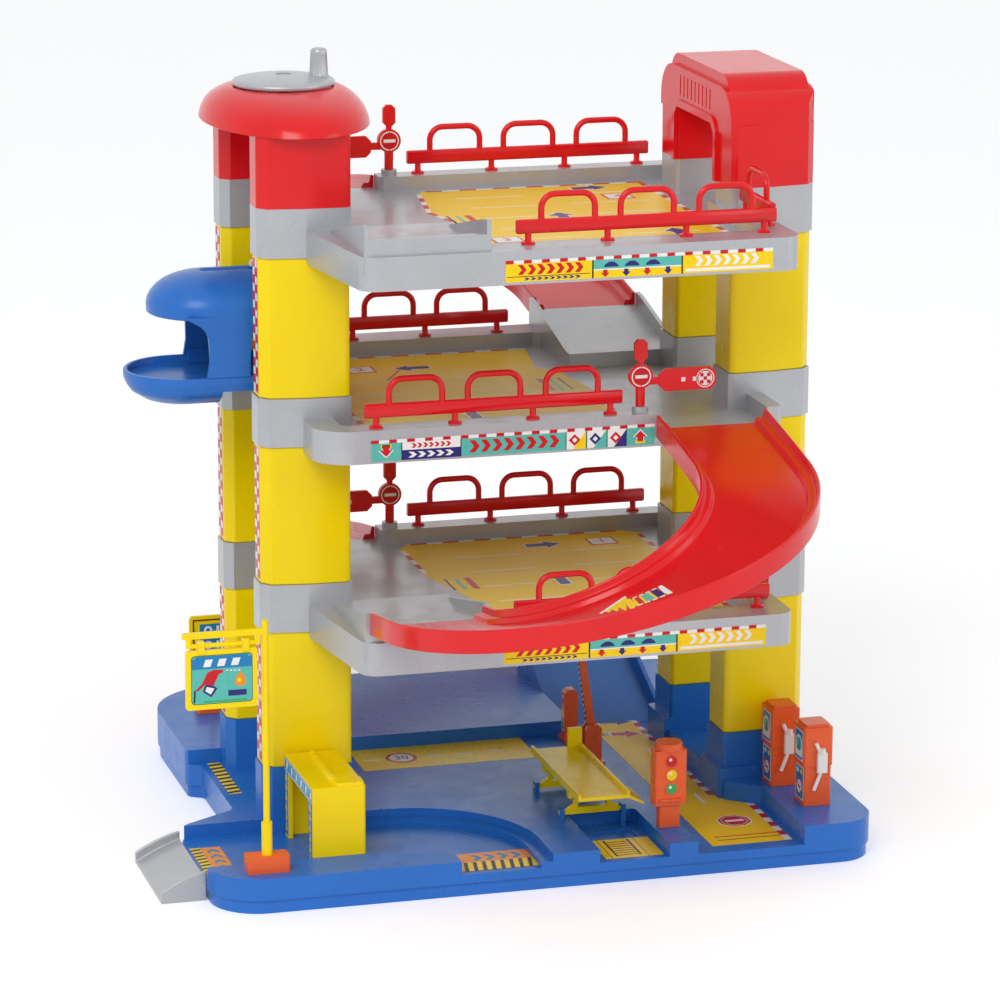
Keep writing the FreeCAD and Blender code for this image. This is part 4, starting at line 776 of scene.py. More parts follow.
def make_crank():
    low, high = cad("crank_handle")
    seat, top = CRANK_SEAT, CRANK_TOP
    profile = [(3.9, low.z), (3.9, seat - 0.2), (32.6, seat), (33.6, seat + 0.6), (34.0, seat + 1.8),
               (33.8, seat + 2.8), (33.0, seat + 3.6), (30.0, seat + 4.4), (25.0, seat + 5.3),
               (19.0, seat + 6.1), (12.0, seat + 6.7), (5.4, top), (4.9, top - 0.3), (4.8, top - 2.4),
               (0.6, top - 2.5)]
    rings = [cap_ring(radius, radius, z) for radius, z in profile]
    disc = loft_mesh("crank_disc", rings)
    knob_centre = CAP_CENTRE + Vector((KNOB_OFFSET, 0, 0))
    knob_rings = []
    knob_base = seat + 4.2
    for radius, rib, z in ((7.6, 0, knob_base), (6.6, 0, knob_base + 0.9), (6.3, 0.5, knob_base + 2.0),
                           (5.6, 0.5, high.z - 4.2), (5.5, 0, high.z - 3.0), (5.2, 0, high.z - 1.2),
                           (4.4, 0, high.z - 0.3), (3.2, 0, high.z)):
        ring = cap_ring(radius, radius, z, knob_centre, 48)
        knob_rings.append([point.lerp(knob_centre + Vector((0, 0, z)), rib / radius * (index // 2 % 2))
                           for index, point in enumerate(ring)])
    knob = loft_mesh("crank_knob", knob_rings)
    piece = show("crank_handle_disc", joined("crank", [disc, knob]), "crank", "silver", 40)
    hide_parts("crank_handle")


def make_cord():
    """The lift cord, one straight braided line from the ring to the drum."""
    low, high = cad("lift_cord")
    centre = (low + high) / 2
    steps, strands = 120, 3
    meshes = []
    for strand in range(strands):
        path = []
        for step in range(steps + 1):
            angle = 2 * math.pi * (step / 5 + strand / strands)
            z = low.z + 0.4 + (high.z - low.z - 0.9) * step / steps
            path.append((centre.x + 0.38 * math.cos(angle), centre.y + 0.38 * math.sin(angle), z))
        meshes.append(tube_mesh("strand", path, 0.5, 8))
    mesh = joined("lift_cord_braid", meshes)
    mesh.materials.append(cord_material())
    mesh.shade_smooth()
    piece = placed("lift_cord_braid", mesh)
    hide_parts("lift_cord")
    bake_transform(piece)


def cord_material():
    material, nodes, links, shader = graph("cord_fibre")
    shader.inputs["Sheen Weight"].default_value = 0.3
    place = add(nodes, "ShaderNodeTexCoord")
    fibres = noise(nodes, links, place, Scale=2500.0, Detail=4.0)
    tint = ramp_of(nodes, links, fibres, [(0.3, (0.7, 0.7, 0.68)), (0.7, (0.9, 0.9, 0.88))])
    links.new(tint, shader.inputs["Base Color"])
    shader.inputs["Roughness"].default_value = 0.8
    return material


# Printed films
def make_check_strips():
    """Red and white checks up the outer faces of the left sleeves."""
    wide, columns = 13.0, 2
    outer_x = -190.0
    gap_z = 106.0
    for level in LEVELS:
        for corner, start_y in (("front_left", -49.5), ("rear_left", 64.5)):
            low, high = cad(f"sleeve_{corner}_{level}")
            spans = [(low.z + 2.5, high.z - 2.5)]
            if level == 1:
                spans = [(low.z + 2.5, gap_z - 2), (gap_z + 2, high.z - 2.5)]
            film = Print(plane((outer_x, start_y, 0), *LEFT))
            for bottom, top in spans:
                rows = round((top - bottom) / 5.7)
                film.rect(0, bottom, wide, top, "red")
                for row in range(rows):
                    v0 = bottom + (top - bottom) * row / rows
                    v1 = bottom + (top - bottom) * (row + 1) / rows
                    u0 = wide / columns * (row % columns)
                    film.rect(u0 + 0.5, v0 + 0.25, u0 + wide / columns - 0.5, v1 - 0.25, "white", 1)
            film.finish(f"check_strip_{corner}_{level}")


def chevrons(film, u0, u1, v0, v1, count, colour, layer):
    """Row of slanted arrowheads between two heights."""
    step = (u1 - u0) / count
    middle, thick = (v0 + v1) / 2, step * 0.5
    reach = step * 0.42
    for index in range(count):
        u = u0 + step * index
        near, far = (u + reach, middle), (u + thick + reach, middle)
        film.poly([(u, v0), (u + thick, v0), far, near], colour, layer)
        film.poly([near, far, (u + thick, v1), (u, v1)], colour, layer)


def up_arrow(film, u, v, wide, colour, layer, down=False):
    """Short arrow that points up, or down."""
    sign = -1 if down else 1
    half, neck = wide / 2, wide / 4
    film.poly([(u - half, v), (u + half, v), (u, v + sign * half)][::sign], colour, layer)
    foot = v - sign * neck * 1.4
    film.poly([(u - neck, foot), (u + neck, foot), (u + neck, v), (u - neck, v)][::sign], colour, layer)


def label_border(film, wide, high):
    film.rect(0, high - 2.2, wide, high, "white", 1)
    count = int(wide / 11.4)
    for index in range(count):
        u = wide * index / count
        film.rect(u, high - 2.2, u + 5.2, high, "red", 2)


def make_yellow_label(level):
    """Label on the front of the lowest and the top deck."""
    wide, high = 179.0, 14.0
    film = Print(plane((-54.5, -177.0, deck_low(level) + 1.8), *FRONT))
    film.rect(0, 0, wide, high, "yellow")
    label_border(film, wide, high)
    inner = high - 3.0
    chevrons(film, 8, 52, 4.6, inner, 7, "red", 2)
    film.rect(1, 3.2, 56, 3.6, "black", 2)
    chevrons(film, 12, 50, 0.9, 2.7, 9, "navy", 2)
    film.rect(57.2, 0, 58.2, high - 2.2, "black", 2)
    film.rect(58.2, 5.8, 117, high - 2.2, "teal", 2)
    film.rect(58.2, 4.9, 117, 5.8, "white", 2)
    for u in (70, 84, 98):
        hump = [(u - 5, 6.9), (u + 5, 6.9), (u + 4, 8.6), (u + 1.6, 10.2), (u - 1.6, 10.2), (u - 4.4, 8.4)]
        film.poly(hump, "navy", 3)
    for u, colour in ((66, "red"), (80, "navy"), (94, "red"), (108, "navy")):
        up_arrow(film, u, 3.2, 5.6, colour, 3, down=True)
    film.rect(117, 0, 118, high - 2.2, "black", 2)
    chevrons(film, 126, 170, 4.4, inner, 7, "white", 2)
    film.rect(120, 1.1, 177, 3.0, "white", 2)
    film.finish(f"deck_label_{level}")


def make_teal_label():
    """Label along the edge of the middle deck."""
    wide, high = 193.0, 14.0
    film = Print(plane((-128.0, -118.0, deck_low(2) + 1.5), *FRONT))
    film.rect(0, 0, wide, high, "teal")
    label_border(film, wide, high)
    top = high - 2.2
    film.rect(6.5, 8.4, 13.5, 10.8, "yellow", 2)
    up_arrow(film, 10, 7.0, 10.5, "white", 2, down=True)
    up_arrow(film, 10, 7.0, 8.4, "red", 3, down=True)
    film.rect(20.3, 0, 20.9, top, "black", 2)
    film.rect(20.9, 6.6, 60, top, "white", 2)
    film.rect(20.9, 0, 60, 6.6, "navy", 2)
    chevrons(film, 27, 54, 7.7, top - 0.9, 7, "red", 3)
    chevrons(film, 25, 56, 1.4, 5.2, 5, "white", 3)
    film.rect(60, 0, 60.7, top, "black", 2)
    chevrons(film, 66, 128, 2.2, top - 1.4, 8, "red", 2)
    squares = ((132.2, "white", "yellow"), (146.3, "white", "teal"), (160.4, "white", "navy"))
    for (u, first, second), mark in zip(squares, ("red", "navy", "red")):
        film.rect(u, 0, u + 13.2, top, first, 2)
        film.poly([(u + 13.2, 0), (u + 13.2, top), (u + 4.5, 0)], second, 3)
        film.poly([(u + 1.6, 6.2), (u + 5.6, 2.2), (u + 9.6, 6.2), (u + 5.6, 10.2)], mark, 4)
        film.poly([(u + 3.8, 6.2), (u + 5.6, 4.4), (u + 7.4, 6.2), (u + 5.6, 8.0)], first, 5)
        film.rect(u - 0.5, 0, u, top, "black", 3)
    up_arrow(film, 183, 5.6, 10.5, "white", 2)
    up_arrow(film, 183, 5.6, 8.4, "red", 3)
    film.rect(179.5, 1.2, 186.5, 3.0, "yellow", 3)
    film.finish("deck_label_2")


def deck_film(level, outline):
    """Printed film laid on a deck's level road, in the object's own axes."""
    film = Print(plane((0, 0, deck_low(level) + DECK_FLOOR), *TOP))
    film.poly(outline, "paving")
    return film


def outlined_arrow(film, tail, tip):
    """Navy arrow on a white one."""
    a, b = Vector(tail), Vector(tip)
    film.arrow(tail, tip, 17, "white", 1)
    film.arrow(a.lerp(b, 0.05), b.lerp(a, 0.06), 13.5, "navy", 2)


def bay_lines(film, spans, places):
    """White lines between parking bays, for each span across the deck."""
    for v in places:
        for left, right in spans:
            film.line((left, v), (right, v), 1.4, "white", 1)


def number_plate(film, u, v, text, colour="red"):
    """White plate with a coloured frame and a plain number."""
    film.rect(u - 10, v - 9.5, u + 10, v + 9.5, colour, 3)
    film.rect(u - 8.6, v - 8.1, u + 8.6, v + 8.1, "white", 4)
    film.number(text, u, v, 9.0, colour, 5)


def bay_stripes(film, places, low_v, high_v):
    for u, wide, colour in places:
        film.rect(u, low_v, u + wide, high_v, colour, 1)


def make_top_floor():
    film = deck_film(3, [(-54.6, -142.5), (121, -142.5), (121, 93), (-38, 93), (-44.8, 81.2), (-55.3, 15.3),
                         (-39.5, -64.9), (-36.6, -78.3)])
    film.dashes((-36, 91.2), (121, 91.2), 3.6, 12, "red", "white", 1)
    film.dashes((-43.2, 81.2), (-53.4, 16.0), 3.4, 12, "white", "red", 1)
    film.dashes((-53.4, 14.0), (-37.6, -64.9), 3.4, 12, "red", "white", 1)
    film.dashes((118.6, -142), (118.6, 88), 4, 12, "red", "white", 1)
    bay_stripes(film, ((-46.5, 1.6, "navy"), (-40.2, 2.4, "teal"), (-34.0, 4.4, "red")), -30, -1)
    number_plate(film, -29, -91, "3")
    bay_lines(film, ((50, 104), (-22, 24)), (60, 24, -14, -52, -90, -128))
    for tail, tip in (((64, 78), (92, 78)), ((30, -36), (30, -4)), ((88, -108), (88, -76))):
        outlined_arrow(film, tail, tip)
    number_plate(film, 88, 42, "4")
    film.finish("deck_floor_film_3")


def make_low_floor():
    film = deck_film(1, [(-51, -142.5), (121, -142.5), (121, 84), (106, 96), (-48, 96), (-58, 81), (-58, 15),
                         (-40, -65), (-37, -78)])
    film.dashes((-46, 94.2), (105, 94.2), 3.6, 12, "red", "white", 1)
    film.dashes((118.6, -142), (118.6, 82), 4, 12, "red", "white", 1)
    film.dashes((-56, 78), (-56, 16), 3.4, 12, "white", "red", 1)
    bay_stripes(film, ((-48, 1.6, "navy"), (-41, 2.4, "teal"), (-34, 4.4, "red")), -30, -1)
    number_plate(film, 87, 69.5, "1")
    bay_lines(film, ((50, 104), (-26, 22)), (50, 12, -26, -64, -102))
    for tail, tip in (((30, 70), (58, 70)), ((30, -36), (30, -4))):
        outlined_arrow(film, tail, tip)
    film.finish("deck_floor_film_1")


def make_middle_floor():
    film = deck_film(2, [(-121, -84), (-106, -96), (50, -96), (57, -82), (57, -14), (60, 2), (52, 66),
                         (40, 78), (51, 142.5), (-121, 142.5)])
    film.dashes((-121, 140.6), (50, 140.6), 3.6, 12, "red", "white", 1)
    film.dashes((-118.6, -82), (-118.6, 138), 4, 12, "red", "white", 1)
    film.dashes((-104, -94), (48, -94), 3.6, 12, "red", "white", 1)
    film.dashes((55, -80), (55, -16), 3.4, 12, "white", "red", 1)
    bay_stripes(film, ((45.4, 1.6, "navy"), (38.4, 2.4, "teal"), (30.4, 4.4, "red")), 8, 44)
    number_plate(film, -80, 103, "2")
    bay_lines(film, ((-113, -65), (-24, 20)), (63, 22, -19, -60))
    film.line((-70, 66), (-54, 95), 1.6, "red", 1)
    for tail, tip in (((-30, 100), (-58, 100)), ((-40, -40), (-40, -72))):
        outlined_arrow(film, tail, tip)
    film.finish("deck_floor_film_2")


def make_sign_prints():
    """No-entry ring and bar and the checked plate on both faces of each swing sign."""
    bodies = {1: "sign_low", 2: "sign_mid", 3: "sign_top"}
    for level in LEVELS:
        turn = -1 if level == 2 else 1
        pin_x, pin_y = -57.5 * turn, 109.0 * turn
        base_z = deck_low(level) + 26.0
        for side, across in (("front", (1, 0, 0)), ("back", (-1, 0, 0))):
            face = -1 if side == "front" else 1
            flip = 1 if side == "front" else -1
            film = Print(plane((pin_x, pin_y + face * 2.0, base_z), across, (0, 0, 1)))
            film.disc(0, 20, 6.7, "white", 0)
            film.disc(0, 20, 5.9, "red", 1)
            film.rect(-4.2, 18.9, 4.2, 21.1, "white", 2)
            film.finish(f"sign_disc_{side}_{level}", bodies[level], "red")
            plate = Print(plane((pin_x, pin_y + face * 1.6, base_z), across, (0, 0, 1)))
            u = -44.5 * turn * flip
            plate.disc(u, 16.5, 6.3, "white", 0)
            plate.disc(u, 16.5, 5.6, "red", 1)
            plate.disc(u, 16.5, 4.9, "white", 2)
            for column in range(3):
                for row in range(3):
                    if (column + row) % 2 == 0:
                        a, b = u - 3.6 + column * 2.4, 12.9 + row * 2.4
                        plate.rect(a, b, a + 2.4, b + 2.4, "red", 3)
            middle = (u + (-22.0) * turn * flip) / 2
            for step in (-4.0, 4.0):
                plate.rect(middle + step - 1.4, 15.1, middle + step + 1.4, 17.9, "white", 0)
            plate.finish(f"sign_plate_{side}_{level}", bodies[level], "red")


BASE_ROAD, BASE_MAIN = 15.0, 24.0


def make_base_strips():
    """Entrance, exit and ladder strips on the low road."""
    low = Print(plane((0, 0, BASE_ROAD), *TOP))
    low.rect(-246.5, -143, -226, -92, "orange")
    low.rect(-246.5, -143, -239.5, -92, "yellow", 1)
    for index in range(8):
        v = -142.0 + index * 6.2
        low.poly([(-246.5, v), (-239.5, v + 1.8), (-239.5, v + 4.6), (-246.5, v + 2.8)], "black", 2)
    for index in range(4):
        v = -137.0 + index * 11
        low.poly([(-236, v), (-232.2, v + 4), (-228.4, v), (-228.4, v + 4), (-232.2, v + 8), (-236, v + 4)],
                 "sky", 1)
    low.rect(-84.5, -184, -26.5, -149.5, "orange")
    low.rect(-84.5, -184, -26.5, -167.4, "yellow", 1)
    for index in range(9):
        u = -82.0 + index * 6.2
        low.poly([(u, -184), (u + 2.6, -184), (u + 5.6, -167.4), (u + 3.0, -167.4)], "black", 2)
    for index in range(4):
        u = -72.0 + index * 9
        low.poly([(u, -164.5), (u + 4, -159), (u, -153.5), (u + 4, -153.5), (u + 8, -159), (u + 4, -164.5)],
                 "sky", 1)
    low.rect(14, -184, 54, -146, "yellow")
    low.rect(18.4, -184, 18.9, -146, "black", 1)
    low.rect(22.0, -180, 23.4, -147.5, "black", 1)
    low.rect(38.6, -180, 40.0, -147.5, "black", 1)
    for index in range(7):
        v = -178.5 + index * 4.4
        low.line((23.0, v), (39.0, v), 1.1, "black", 1)
    low.rect(43.4, -184, 43.9, -146, "black", 1)
    low.finish("base_strips", "garage", "blue")


def make_lane_print():
    """Paved film of the right lane with its arrows and stop sign."""
    lane = Print(plane((0, 0, BASE_ROAD), *TOP))
    left, right, right_rear = 90.0, 146.0, 126.0
    front, rear = -177.0, 138.0
    lane.poly([(left, front), (right, front), (right, -92), (right_rear, -74), (right_rear, rear),
               (left, rear)], "paving")
    lane.dashes((right - 2.4, front + 1), (right - 2.4, -92), 4.8, 9, "white", "red", 1)
    lane.dashes((right_rear - 2.2, -72), (right_rear - 2.2, rear), 4.4, 9, "red", "white", 1)
    lane.dashes((left, rear - 1.8), (right_rear - 4.4, rear - 1.8), 3.6, 9, "red", "white", 1)
    for v in (-88.0, -44.0, -4.0, 18.0):
        lane.rect(112.4, v, 114.8, v + 22, "white", 1)
    for tail, tip, colour in (((98, 110), (123, 106), "navy"), ((98, 80), (121, 76), "red")):
        lane.arrow(tail, tip, 16, "white", 1)
        lane.arrow((tail[0] + 1, tail[1]), (tip[0] - 1.6, tip[1]), 13, colour, 2)
        lane.rect(tail[0] - 7, tail[1] - 4, tail[0] - 1, tail[1] + 4, "white", 1)
        lane.rect(tail[0] - 6.3, tail[1] - 3.3, tail[0] - 4.0, tail[1] + 3.3, "red", 2)
        lane.rect(tail[0] - 3.6, tail[1] - 3.3, tail[0] - 1.4, tail[1] + 3.3, "teal", 2)
    octagon_u, octagon_v = 121.0, -130.0
    angles = [math.pi / 8 + step * math.pi / 4 for step in range(8)]
    for radius, colour, layer in ((12.4, "white", 1), (11.4, "red", 2), (9.6, "white", 3), (9.0, "red", 4)):
        lane.poly([(octagon_u + radius * math.cos(a), octagon_v + radius * math.sin(a)) for a in angles],
                  colour, layer)
    lane.rect(octagon_u - 6.5, octagon_v - 1.8, octagon_u + 6.5, octagon_v + 1.8, "white", 5)
    lane.line((97, -160), (141, -160), 1.6, "red", 1)
    lane.line((97, -167), (141, -167), 1.0, "brown", 1)
    lane.finish("right_lane_film", "garage", "blue")


def make_road_print():
    """Yellow road strip with its number sign, and the hazard strip at the left edge."""
    upper = Print(plane((0, 0, BASE_MAIN), *TOP))
    upper.rect(-100, 14, 25, 67, "yellow")
    upper.dashes((-100, 65.2), (25, 65.2), 3.6, 10, "red", "white", 1)
    for u in (-95, -50, -28, -6):
        upper.rect(u, 36, u + 12, 38, "white", 1)
    for radius, colour, layer in ((11.0, "red", 2), (8.6, "white", 3)):
        upper.disc(-68, 37, radius, colour, layer)
    upper.number("30", -68, 37, 7.6, "black", 4)
    upper.rect(-201.5, -11, -192.5, 60, "yellow")
    for index in range(9):
        v = -10.0 + index * 7.8
        upper.poly([(-201.5, v), (-192.5, v + 2), (-192.5, v + 5.4), (-201.5, v + 3.4)], "black", 1)
    upper.finish("main_road_film", "garage", "blue")


def make_wash_print():
    """Blue film round the mouth of the car wash."""
    film = Print(plane((cad("car_wash")[0].x, 0, 0), *LEFT))
    front, rear = 155.7, 78.4
    top = 70.0
    mouth, side, foot = 60.4, 9.2, 17.0
    film.rect(rear, mouth, front, top, "sky")
    film.rect(rear, foot, rear + side, mouth, "sky")
    film.rect(front - side, foot, front, mouth, "sky")
    film.rect(rear, 68.6, front, 69.2, "white", 1)
    film.rect(rear, 61.0, front, 61.6, "white", 1)
    for index in range(11):
        u = rear + 5 + index * 6.7
        colour = "teal" if index % 2 else "white"
        film.poly([(u, 62.6), (u + 3.4, 62.6), (u + 4.6, 67.6), (u + 1.2, 67.6)], colour, 1)
    for u in (rear + 4.6, front - 4.6):
        for index in range(6):
            v = 21.0 + index * 7.0
            film.disc(u, v, 2.2, "yellow", 1, sides=16)
            film.disc(u, v + 3.2, 1.0, "white", 1, sides=12)
    film.finish("car_wash_film", "garage", "yellow")


def make_pump_prints():
    """Gauge and warning films on the pumps."""
    for number in (1, 2):
        low, high = cad(f"pump_{number}")
        face_x = low.x
        front, rear = -low.y - 2.6, -high.y + 3.6
        middle = (front + rear) / 2
        for name, bottom, top, depth in (("gauge", 59.0, 80.0, 0.0), ("warning", 31.5, 54.5, 0.8)):
            film = Print(plane((face_x + depth, 0, 0), *LEFT))
            film.rect(rear, bottom, front, top, "white")
            film.rect(rear + 0.7, bottom + 0.7, front - 0.7, top - 0.7, "sky", 1)
            centre = (bottom + top) / 2
            if name == "gauge":
                film.disc(middle, centre + 0.5, 6.2, "white", 2)
                film.rect(middle - 6.2, bottom + 2.6, middle + 6.2, centre - 1.0, "white", 3)
                film.disc(middle, centre + 0.5, 4.9, "teal", 4)
                film.line((middle, centre - 2.4), (middle + 2.0, centre + 4.0), 1.0, "navy", 5)
                film.disc(middle, centre - 2.2, 1.3, "navy", 5, sides=16)
            else:
                film.disc(middle, centre - 3.0, 5.6, "red", 2)
                film.disc(middle, centre - 3.0, 4.5, "white", 3)
                film.line((middle - 3.2, centre + 0.2), (middle + 3.2, centre - 6.2), 1.1, "red", 4)
                film.rect(middle - 2.6, centre - 3.6, middle + 2.6, centre - 2.4, "black", 4)
                film.rect(rear + 2.4, top - 5.2, rear + 6.0, top - 2.2, "white", 2)
                film.rect(front - 6.2, top - 5.2, front - 2.4, top - 2.2, "yellow", 2)
            film.finish(f"pump_{name}_{number}", "garage", "orange")


def make_light_print():
    """Coloured lenses of the traffic light, each with a painted highlight: a small white dot up and to the
    left of its middle.
    """
    low, high = cad("traffic_light")
    face_y = -161.0
    film = Print(plane(((low.x + high.x) / 2, face_y, 0), *FRONT))
    for z, colour in ((71.0, "red"), (61.5, "yellow"), (52.0, "green")):
        film.disc(0, z, 3.7, colour, sides=24)
        # painted highlight: the small white dot on each lens stands in for a lamp's reflection
        film.disc(-0.9, z + 1.2, 1.1, "white", 1, sides=12)
    film.finish("traffic_light_lenses_and_painted_highlights", "garage", "orange")


def make_gas_print():
    """Picture of a filling nozzle and a drop on both faces of the hanging panel."""
    low, high = cad("gas_sign_panel")
    middle_x, face = (low.x + high.x) / 2, 1.8
    y = (low.y + high.y) / 2
    bottom, top = low.z + 3.6, low.z + 36.0
    half = 20.0
    for side, across, sign in (("front", (1, 0, 0), -1), ("back", (-1, 0, 0), 1)):
        film = Print(plane((middle_x, y + sign * face, 0), across, (0, 0, 1)))
        round_by = 2.6
        near_u, near_v, far_v = half - round_by, top - round_by, bottom + round_by
        corners = []
        for cu, cv, start in ((near_u, near_v, 0), (-near_u, near_v, 90), (-near_u, far_v, 180),
                              (near_u, far_v, 270)):
            corners += arc_points((cu, cv), round_by, start, start + 90, 5)
        film.poly(corners, "black")
        film.poly([(u * 0.985, bottom + (v - bottom) * 0.976 + 0.4) for u, v in corners], "teal", 1)
        film.rect(-half + 0.4, top - 9.0, half - 0.4, top - 2.2, "sky", 2)
        film.poly([(-half + 2.6, top - 2.2), (half - 2.6, top - 2.2), (half - 3.2, top - 0.6),
                   (-half + 3.2, top - 0.6)], "sky", 2)
        for u in (-9.0, 0.0, 9.0):
            film.poly([(u - 3.2, top - 7.6), (u + 1.6, top - 7.6), (u + 3.2, top - 2.8),
                       (u - 1.6, top - 2.8)], "white", 3)
        film.poly([(-17.5, bottom + 9.5), (-15.6, bottom + 9.0), (-10.8, bottom + 13.2),
                   (-5.6, bottom + 12.0), (-2.0, bottom + 19.5), (0.8, bottom + 20.5), (0.6, bottom + 22.4),
                   (-5.5, bottom + 22.6), (-9.5, bottom + 21.0), (-12.8, bottom + 14.0)], "red", 2)
        film.poly([(-12.6, bottom + 8.4), (-7.0, bottom + 4.6), (-3.0, bottom + 10.2), (-5.6, bottom + 12.0),
                   (-10.8, bottom + 13.2)], "navy", 2)
        film.poly([(-11.0, bottom + 8.8), (-7.4, bottom + 6.4), (-5.0, bottom + 10.2),
                   (-10.0, bottom + 11.6)], "white", 3)
        film.line((-17.6, bottom + 9.6), (-18.2, bottom + 1.4), 1.1, "black", 2)
        for u in (2.6, 5.2, 7.8, 10.4):
            start = (u, bottom + 21.6 - (u - 2.6) * 0.04)
            film.line(start, (u + 1.5, bottom + 21.8 - (u - 2.6) * 0.06), 0.7, "white", 2)
        film.disc(12.0, bottom + 14.2, 3.7, "orange", 2, sides=24)
        film.poly([(8.8, bottom + 16.0), (15.2, bottom + 16.0), (12.0, bottom + 21.0)], "orange", 3)
        film.disc(11.0, bottom + 14.6, 1.4, "yellow", 4, sides=16)
        film.rect(4.0, bottom + 4.6, 16.0, bottom + 8.4, "navy", 2)
        film.rect(-12.0, bottom + 1.0, 16.0, bottom + 2.2, "green", 2)
        film.finish(f"gas_panel_film_{side}", "gas_panel", "yellow")


def make_side_sign_print():
    low, high = cad("side_sign_board")
    film = Print(plane(((low.x + high.x) / 2, low.y, 0), *FRONT))
    bottom, top = high.z - 29.5, high.z - 2.5
    film.rect(-14.5, bottom, 14.5, top, "brown")
    film.rect(-13.3, bottom + 1.2, 13.3, top - 1.2, "yellow", 1)
    for v in (bottom + 3.4, bottom + 14.4):
        film.rect(-9.5, v, 9.5, v + 9.0, "sky", 2)
        film.disc(-3.4, v + 4.5, 3.0, "white", 3, sides=24)
        film.disc(-3.4, v + 4.5, 1.5, "sky", 4, sides=20)
        film.rect(2.6, v + 1.6, 4.6, v + 7.4, "white", 3)
    film.finish("side_sign_film", "garage", "yellow")


def make_barrier_prints():
    """Ovals on the barrier's post and the black and white waves on its arm."""
    post_x, middle_y = 53.0, 48.0
    film = Print(plane((post_x, middle_y, 0), *LEFT))
    for z, colour in ((53.0, "red"), (44.0, "yellow"), (35.0, "green")):
        film.disc(0, z, 3.0, "white", squeeze=1.35, sides=24)
        film.disc(0, z, 2.4, colour, 1, squeeze=1.35, sides=24)
    film.finish("barrier_post_film", "garage", "orange")
    pivot, lean = Vector((59.0, 0.0, 44.0)), math.radians(-8)
    up = Vector((math.sin(lean), 0, math.cos(lean)))
    out = Vector((-math.cos(lean), 0, math.sin(lean)))
    origin = pivot + out * 2.72 + up * 38.0 + Vector((0, -1.8, 0))
    taper, reach = 0.007, 38.0

    def on_arm(u, v, height):
        return origin + Vector((0, -1, 0)) * u + up * v + out * (height - taper * (v - reach))

    wave = Print(on_arm)
    wave.rect(-1.4, -34, 1.4, 24, "white")
    for index in range(14):
        v = -32.5 + index * 4.0
        wave.poly([(-1.4, v), (1.4, v + 1.6), (1.4, v + 3.4), (-1.4, v + 1.8)], "black", 1)
    wave.finish("barrier_arm_film", "barrier", "orange")


def make_ramp_print():
    """Outlined arrow on the front ramp."""
    film = Print(ramp_place)
    length = 254.0
    for grow, colour, layer in ((1.35, "white", 0), (1.14, "yellow", 1)):
        head, neck, half, tail = 15 * grow, 1.0, 13 * grow, -17 * grow
        for u0, u1 in ((-half, 0), (0, half)):
            film.poly([(u0, length + neck), (u1, length + neck), (0, length + neck + head)], colour, layer)
        film.rect(-half * 0.5, length + tail, half * 0.5, length + neck, colour, layer, 4)
    film.rect(-6.8, length - 18.5, 6.8, length - 13.5, "navy", 2)
    film.rect(-6.8, length - 12.0, 6.8, length - 7.0, "teal", 2)
    film.rect(-6.8, length - 5.5, 6.8, length - 2.5, "red", 2)
    film.finish("ramp_arrow_film", "garage", "red")


# Stage
TARGET = Vector((41.27, 172.0, 169.79))
CAMERA_PLACE = Vector((-818.6, -2860.6, 970.2))
CAMERA_ROLL = 0.22
LENS = 161.45
FLOOR_REACH = 6.0
FLOOR_GLOW = 0.3


def make_camera():
    data = bpy.data.cameras.new("camera")
    data.lens = LENS
    data.sensor_width = 36
    data.clip_start, data.clip_end = 0.05, 30
    camera = placed("camera", data)
    ahead = (TARGET - CAMERA_PLACE).normalized()
    aim = ahead.to_track_quat("-Z", "Y").to_matrix().to_4x4()
    roll = Matrix.Rotation(math.radians(CAMERA_ROLL), 4, "Z")
    camera.matrix_world = Matrix.Translation(CAMERA_PLACE * MM) @ (aim @ roll)
    bpy.context.scene.camera = camera


def area_light(name, place, aim, size, power):
    data = bpy.data.lights.new(name, "AREA")
    data.shape = "RECTANGLE"
    data.size, data.size_y = size
    data.energy = power
    lamp = placed(name, data)
    ahead = Vector(aim) - Vector(place)
    lamp.matrix_world = Matrix.Translation(place) @ ahead.to_track_quat("-Z", "Y").to_matrix().to_4x4()


def seen_rays(nodes, links):
    """One for rays from the camera, from a glossy surface or through a clear one."""
    path = nodes.new("ShaderNodeLightPath")
    seen = add(nodes, "ShaderNodeMath", operation="MAXIMUM")
    links.new(path.outputs["Is Camera Ray"], seen.inputs[0])
    links.new(path.outputs["Is Glossy Ray"], seen.inputs[1])
    either = add(nodes, "ShaderNodeMath", operation="MAXIMUM")
    links.new(seen.outputs[0], either.inputs[0])
    links.new(path.outputs["Is Transmission Ray"], either.inputs[1])
    return either.outputs[0]


def make_lamps():
    area_light("key_light", (-1.5, -1.9, 2.3), (0, 0, 0.25), (1.5, 1.5), 36)
    area_light("fill_light", (2.2, -1.6, 1.2), (0, 0, 0.3), (1.2, 1.8), 12)


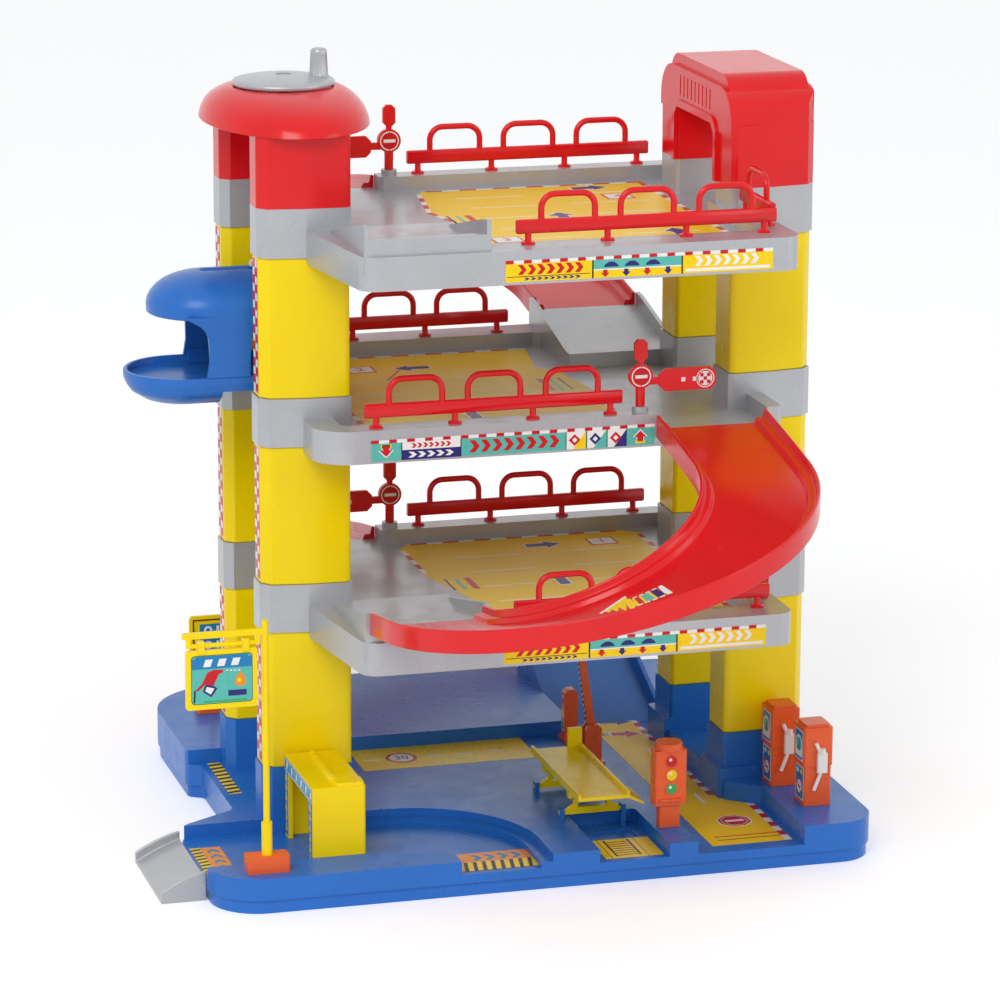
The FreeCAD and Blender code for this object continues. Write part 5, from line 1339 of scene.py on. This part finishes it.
def make_world():
    world = bpy.data.worlds.new("studio")
    bpy.context.scene.world = world
    world.use_nodes = True
    nodes, links = world.node_tree.nodes, world.node_tree.links
    nodes.clear()
    output = nodes.new("ShaderNodeOutputWorld")
    room = add(nodes, "ShaderNodeBackground", Strength=0.62)
    room.inputs["Color"].default_value = (0.96, 0.98, 1.0, 1)
    backdrop = add(nodes, "ShaderNodeBackground", Strength=1.0)
    backdrop.inputs["Color"].default_value = (1, 1, 1, 1)
    mix = nodes.new("ShaderNodeMixShader")
    links.new(seen_rays(nodes, links), mix.inputs["Fac"])
    links.new(room.outputs[0], mix.inputs[1])
    links.new(backdrop.outputs[0], mix.inputs[2])
    links.new(mix.outputs[0], output.inputs["Surface"])


def make_floor():
    mesh = bpy.data.meshes.new("floor")
    reach = FLOOR_REACH
    corners = [(-reach, -reach, 0), (reach, -reach, 0), (reach, reach, 0), (-reach, reach, 0)]
    mesh.from_pydata(corners, [], [(0, 1, 2, 3)])
    material, nodes, links, shader = graph("floor_paper")
    place = add(nodes, "ShaderNodeTexCoord")
    fibre = noise(nodes, links, place, Scale=40.0, Detail=3.0)
    links.new(ramp_of(nodes, links, fibre, [(0.3, 0.93), (0.7, 0.95)]), shader.inputs["Base Color"])
    shader.inputs["Roughness"].default_value = 0.6
    shader.inputs["Emission Color"].default_value = (1, 1, 1, 1)
    glow = add(nodes, "ShaderNodeMath", operation="MULTIPLY")
    glow.inputs[1].default_value = FLOOR_GLOW
    links.new(seen_rays(nodes, links), glow.inputs[0])
    links.new(glow.outputs[0], shader.inputs["Emission Strength"])
    mesh.materials.append(material)
    floor = placed("floor", mesh)
    bpy.context.scene.view_settings.view_transform = "Standard"


make_camera()
make_lamps()
make_world()
make_floor()
make_mouldings()
make_ramps()
make_rails()
make_lift_cap()
make_crank()
make_cord()
make_lift_tray()
make_canopy()
make_portal_corners()
make_check_strips()
for deck_level in (1, 3):
    make_yellow_label(deck_level)
make_teal_label()
make_low_floor()
make_middle_floor()
make_top_floor()
make_sign_prints()
make_base_strips()
make_lane_print()
make_road_print()
make_wash_print()
make_pump_prints()
make_light_print()
make_gas_print()
make_side_sign_print()
make_barrier_prints()
make_ramp_print()
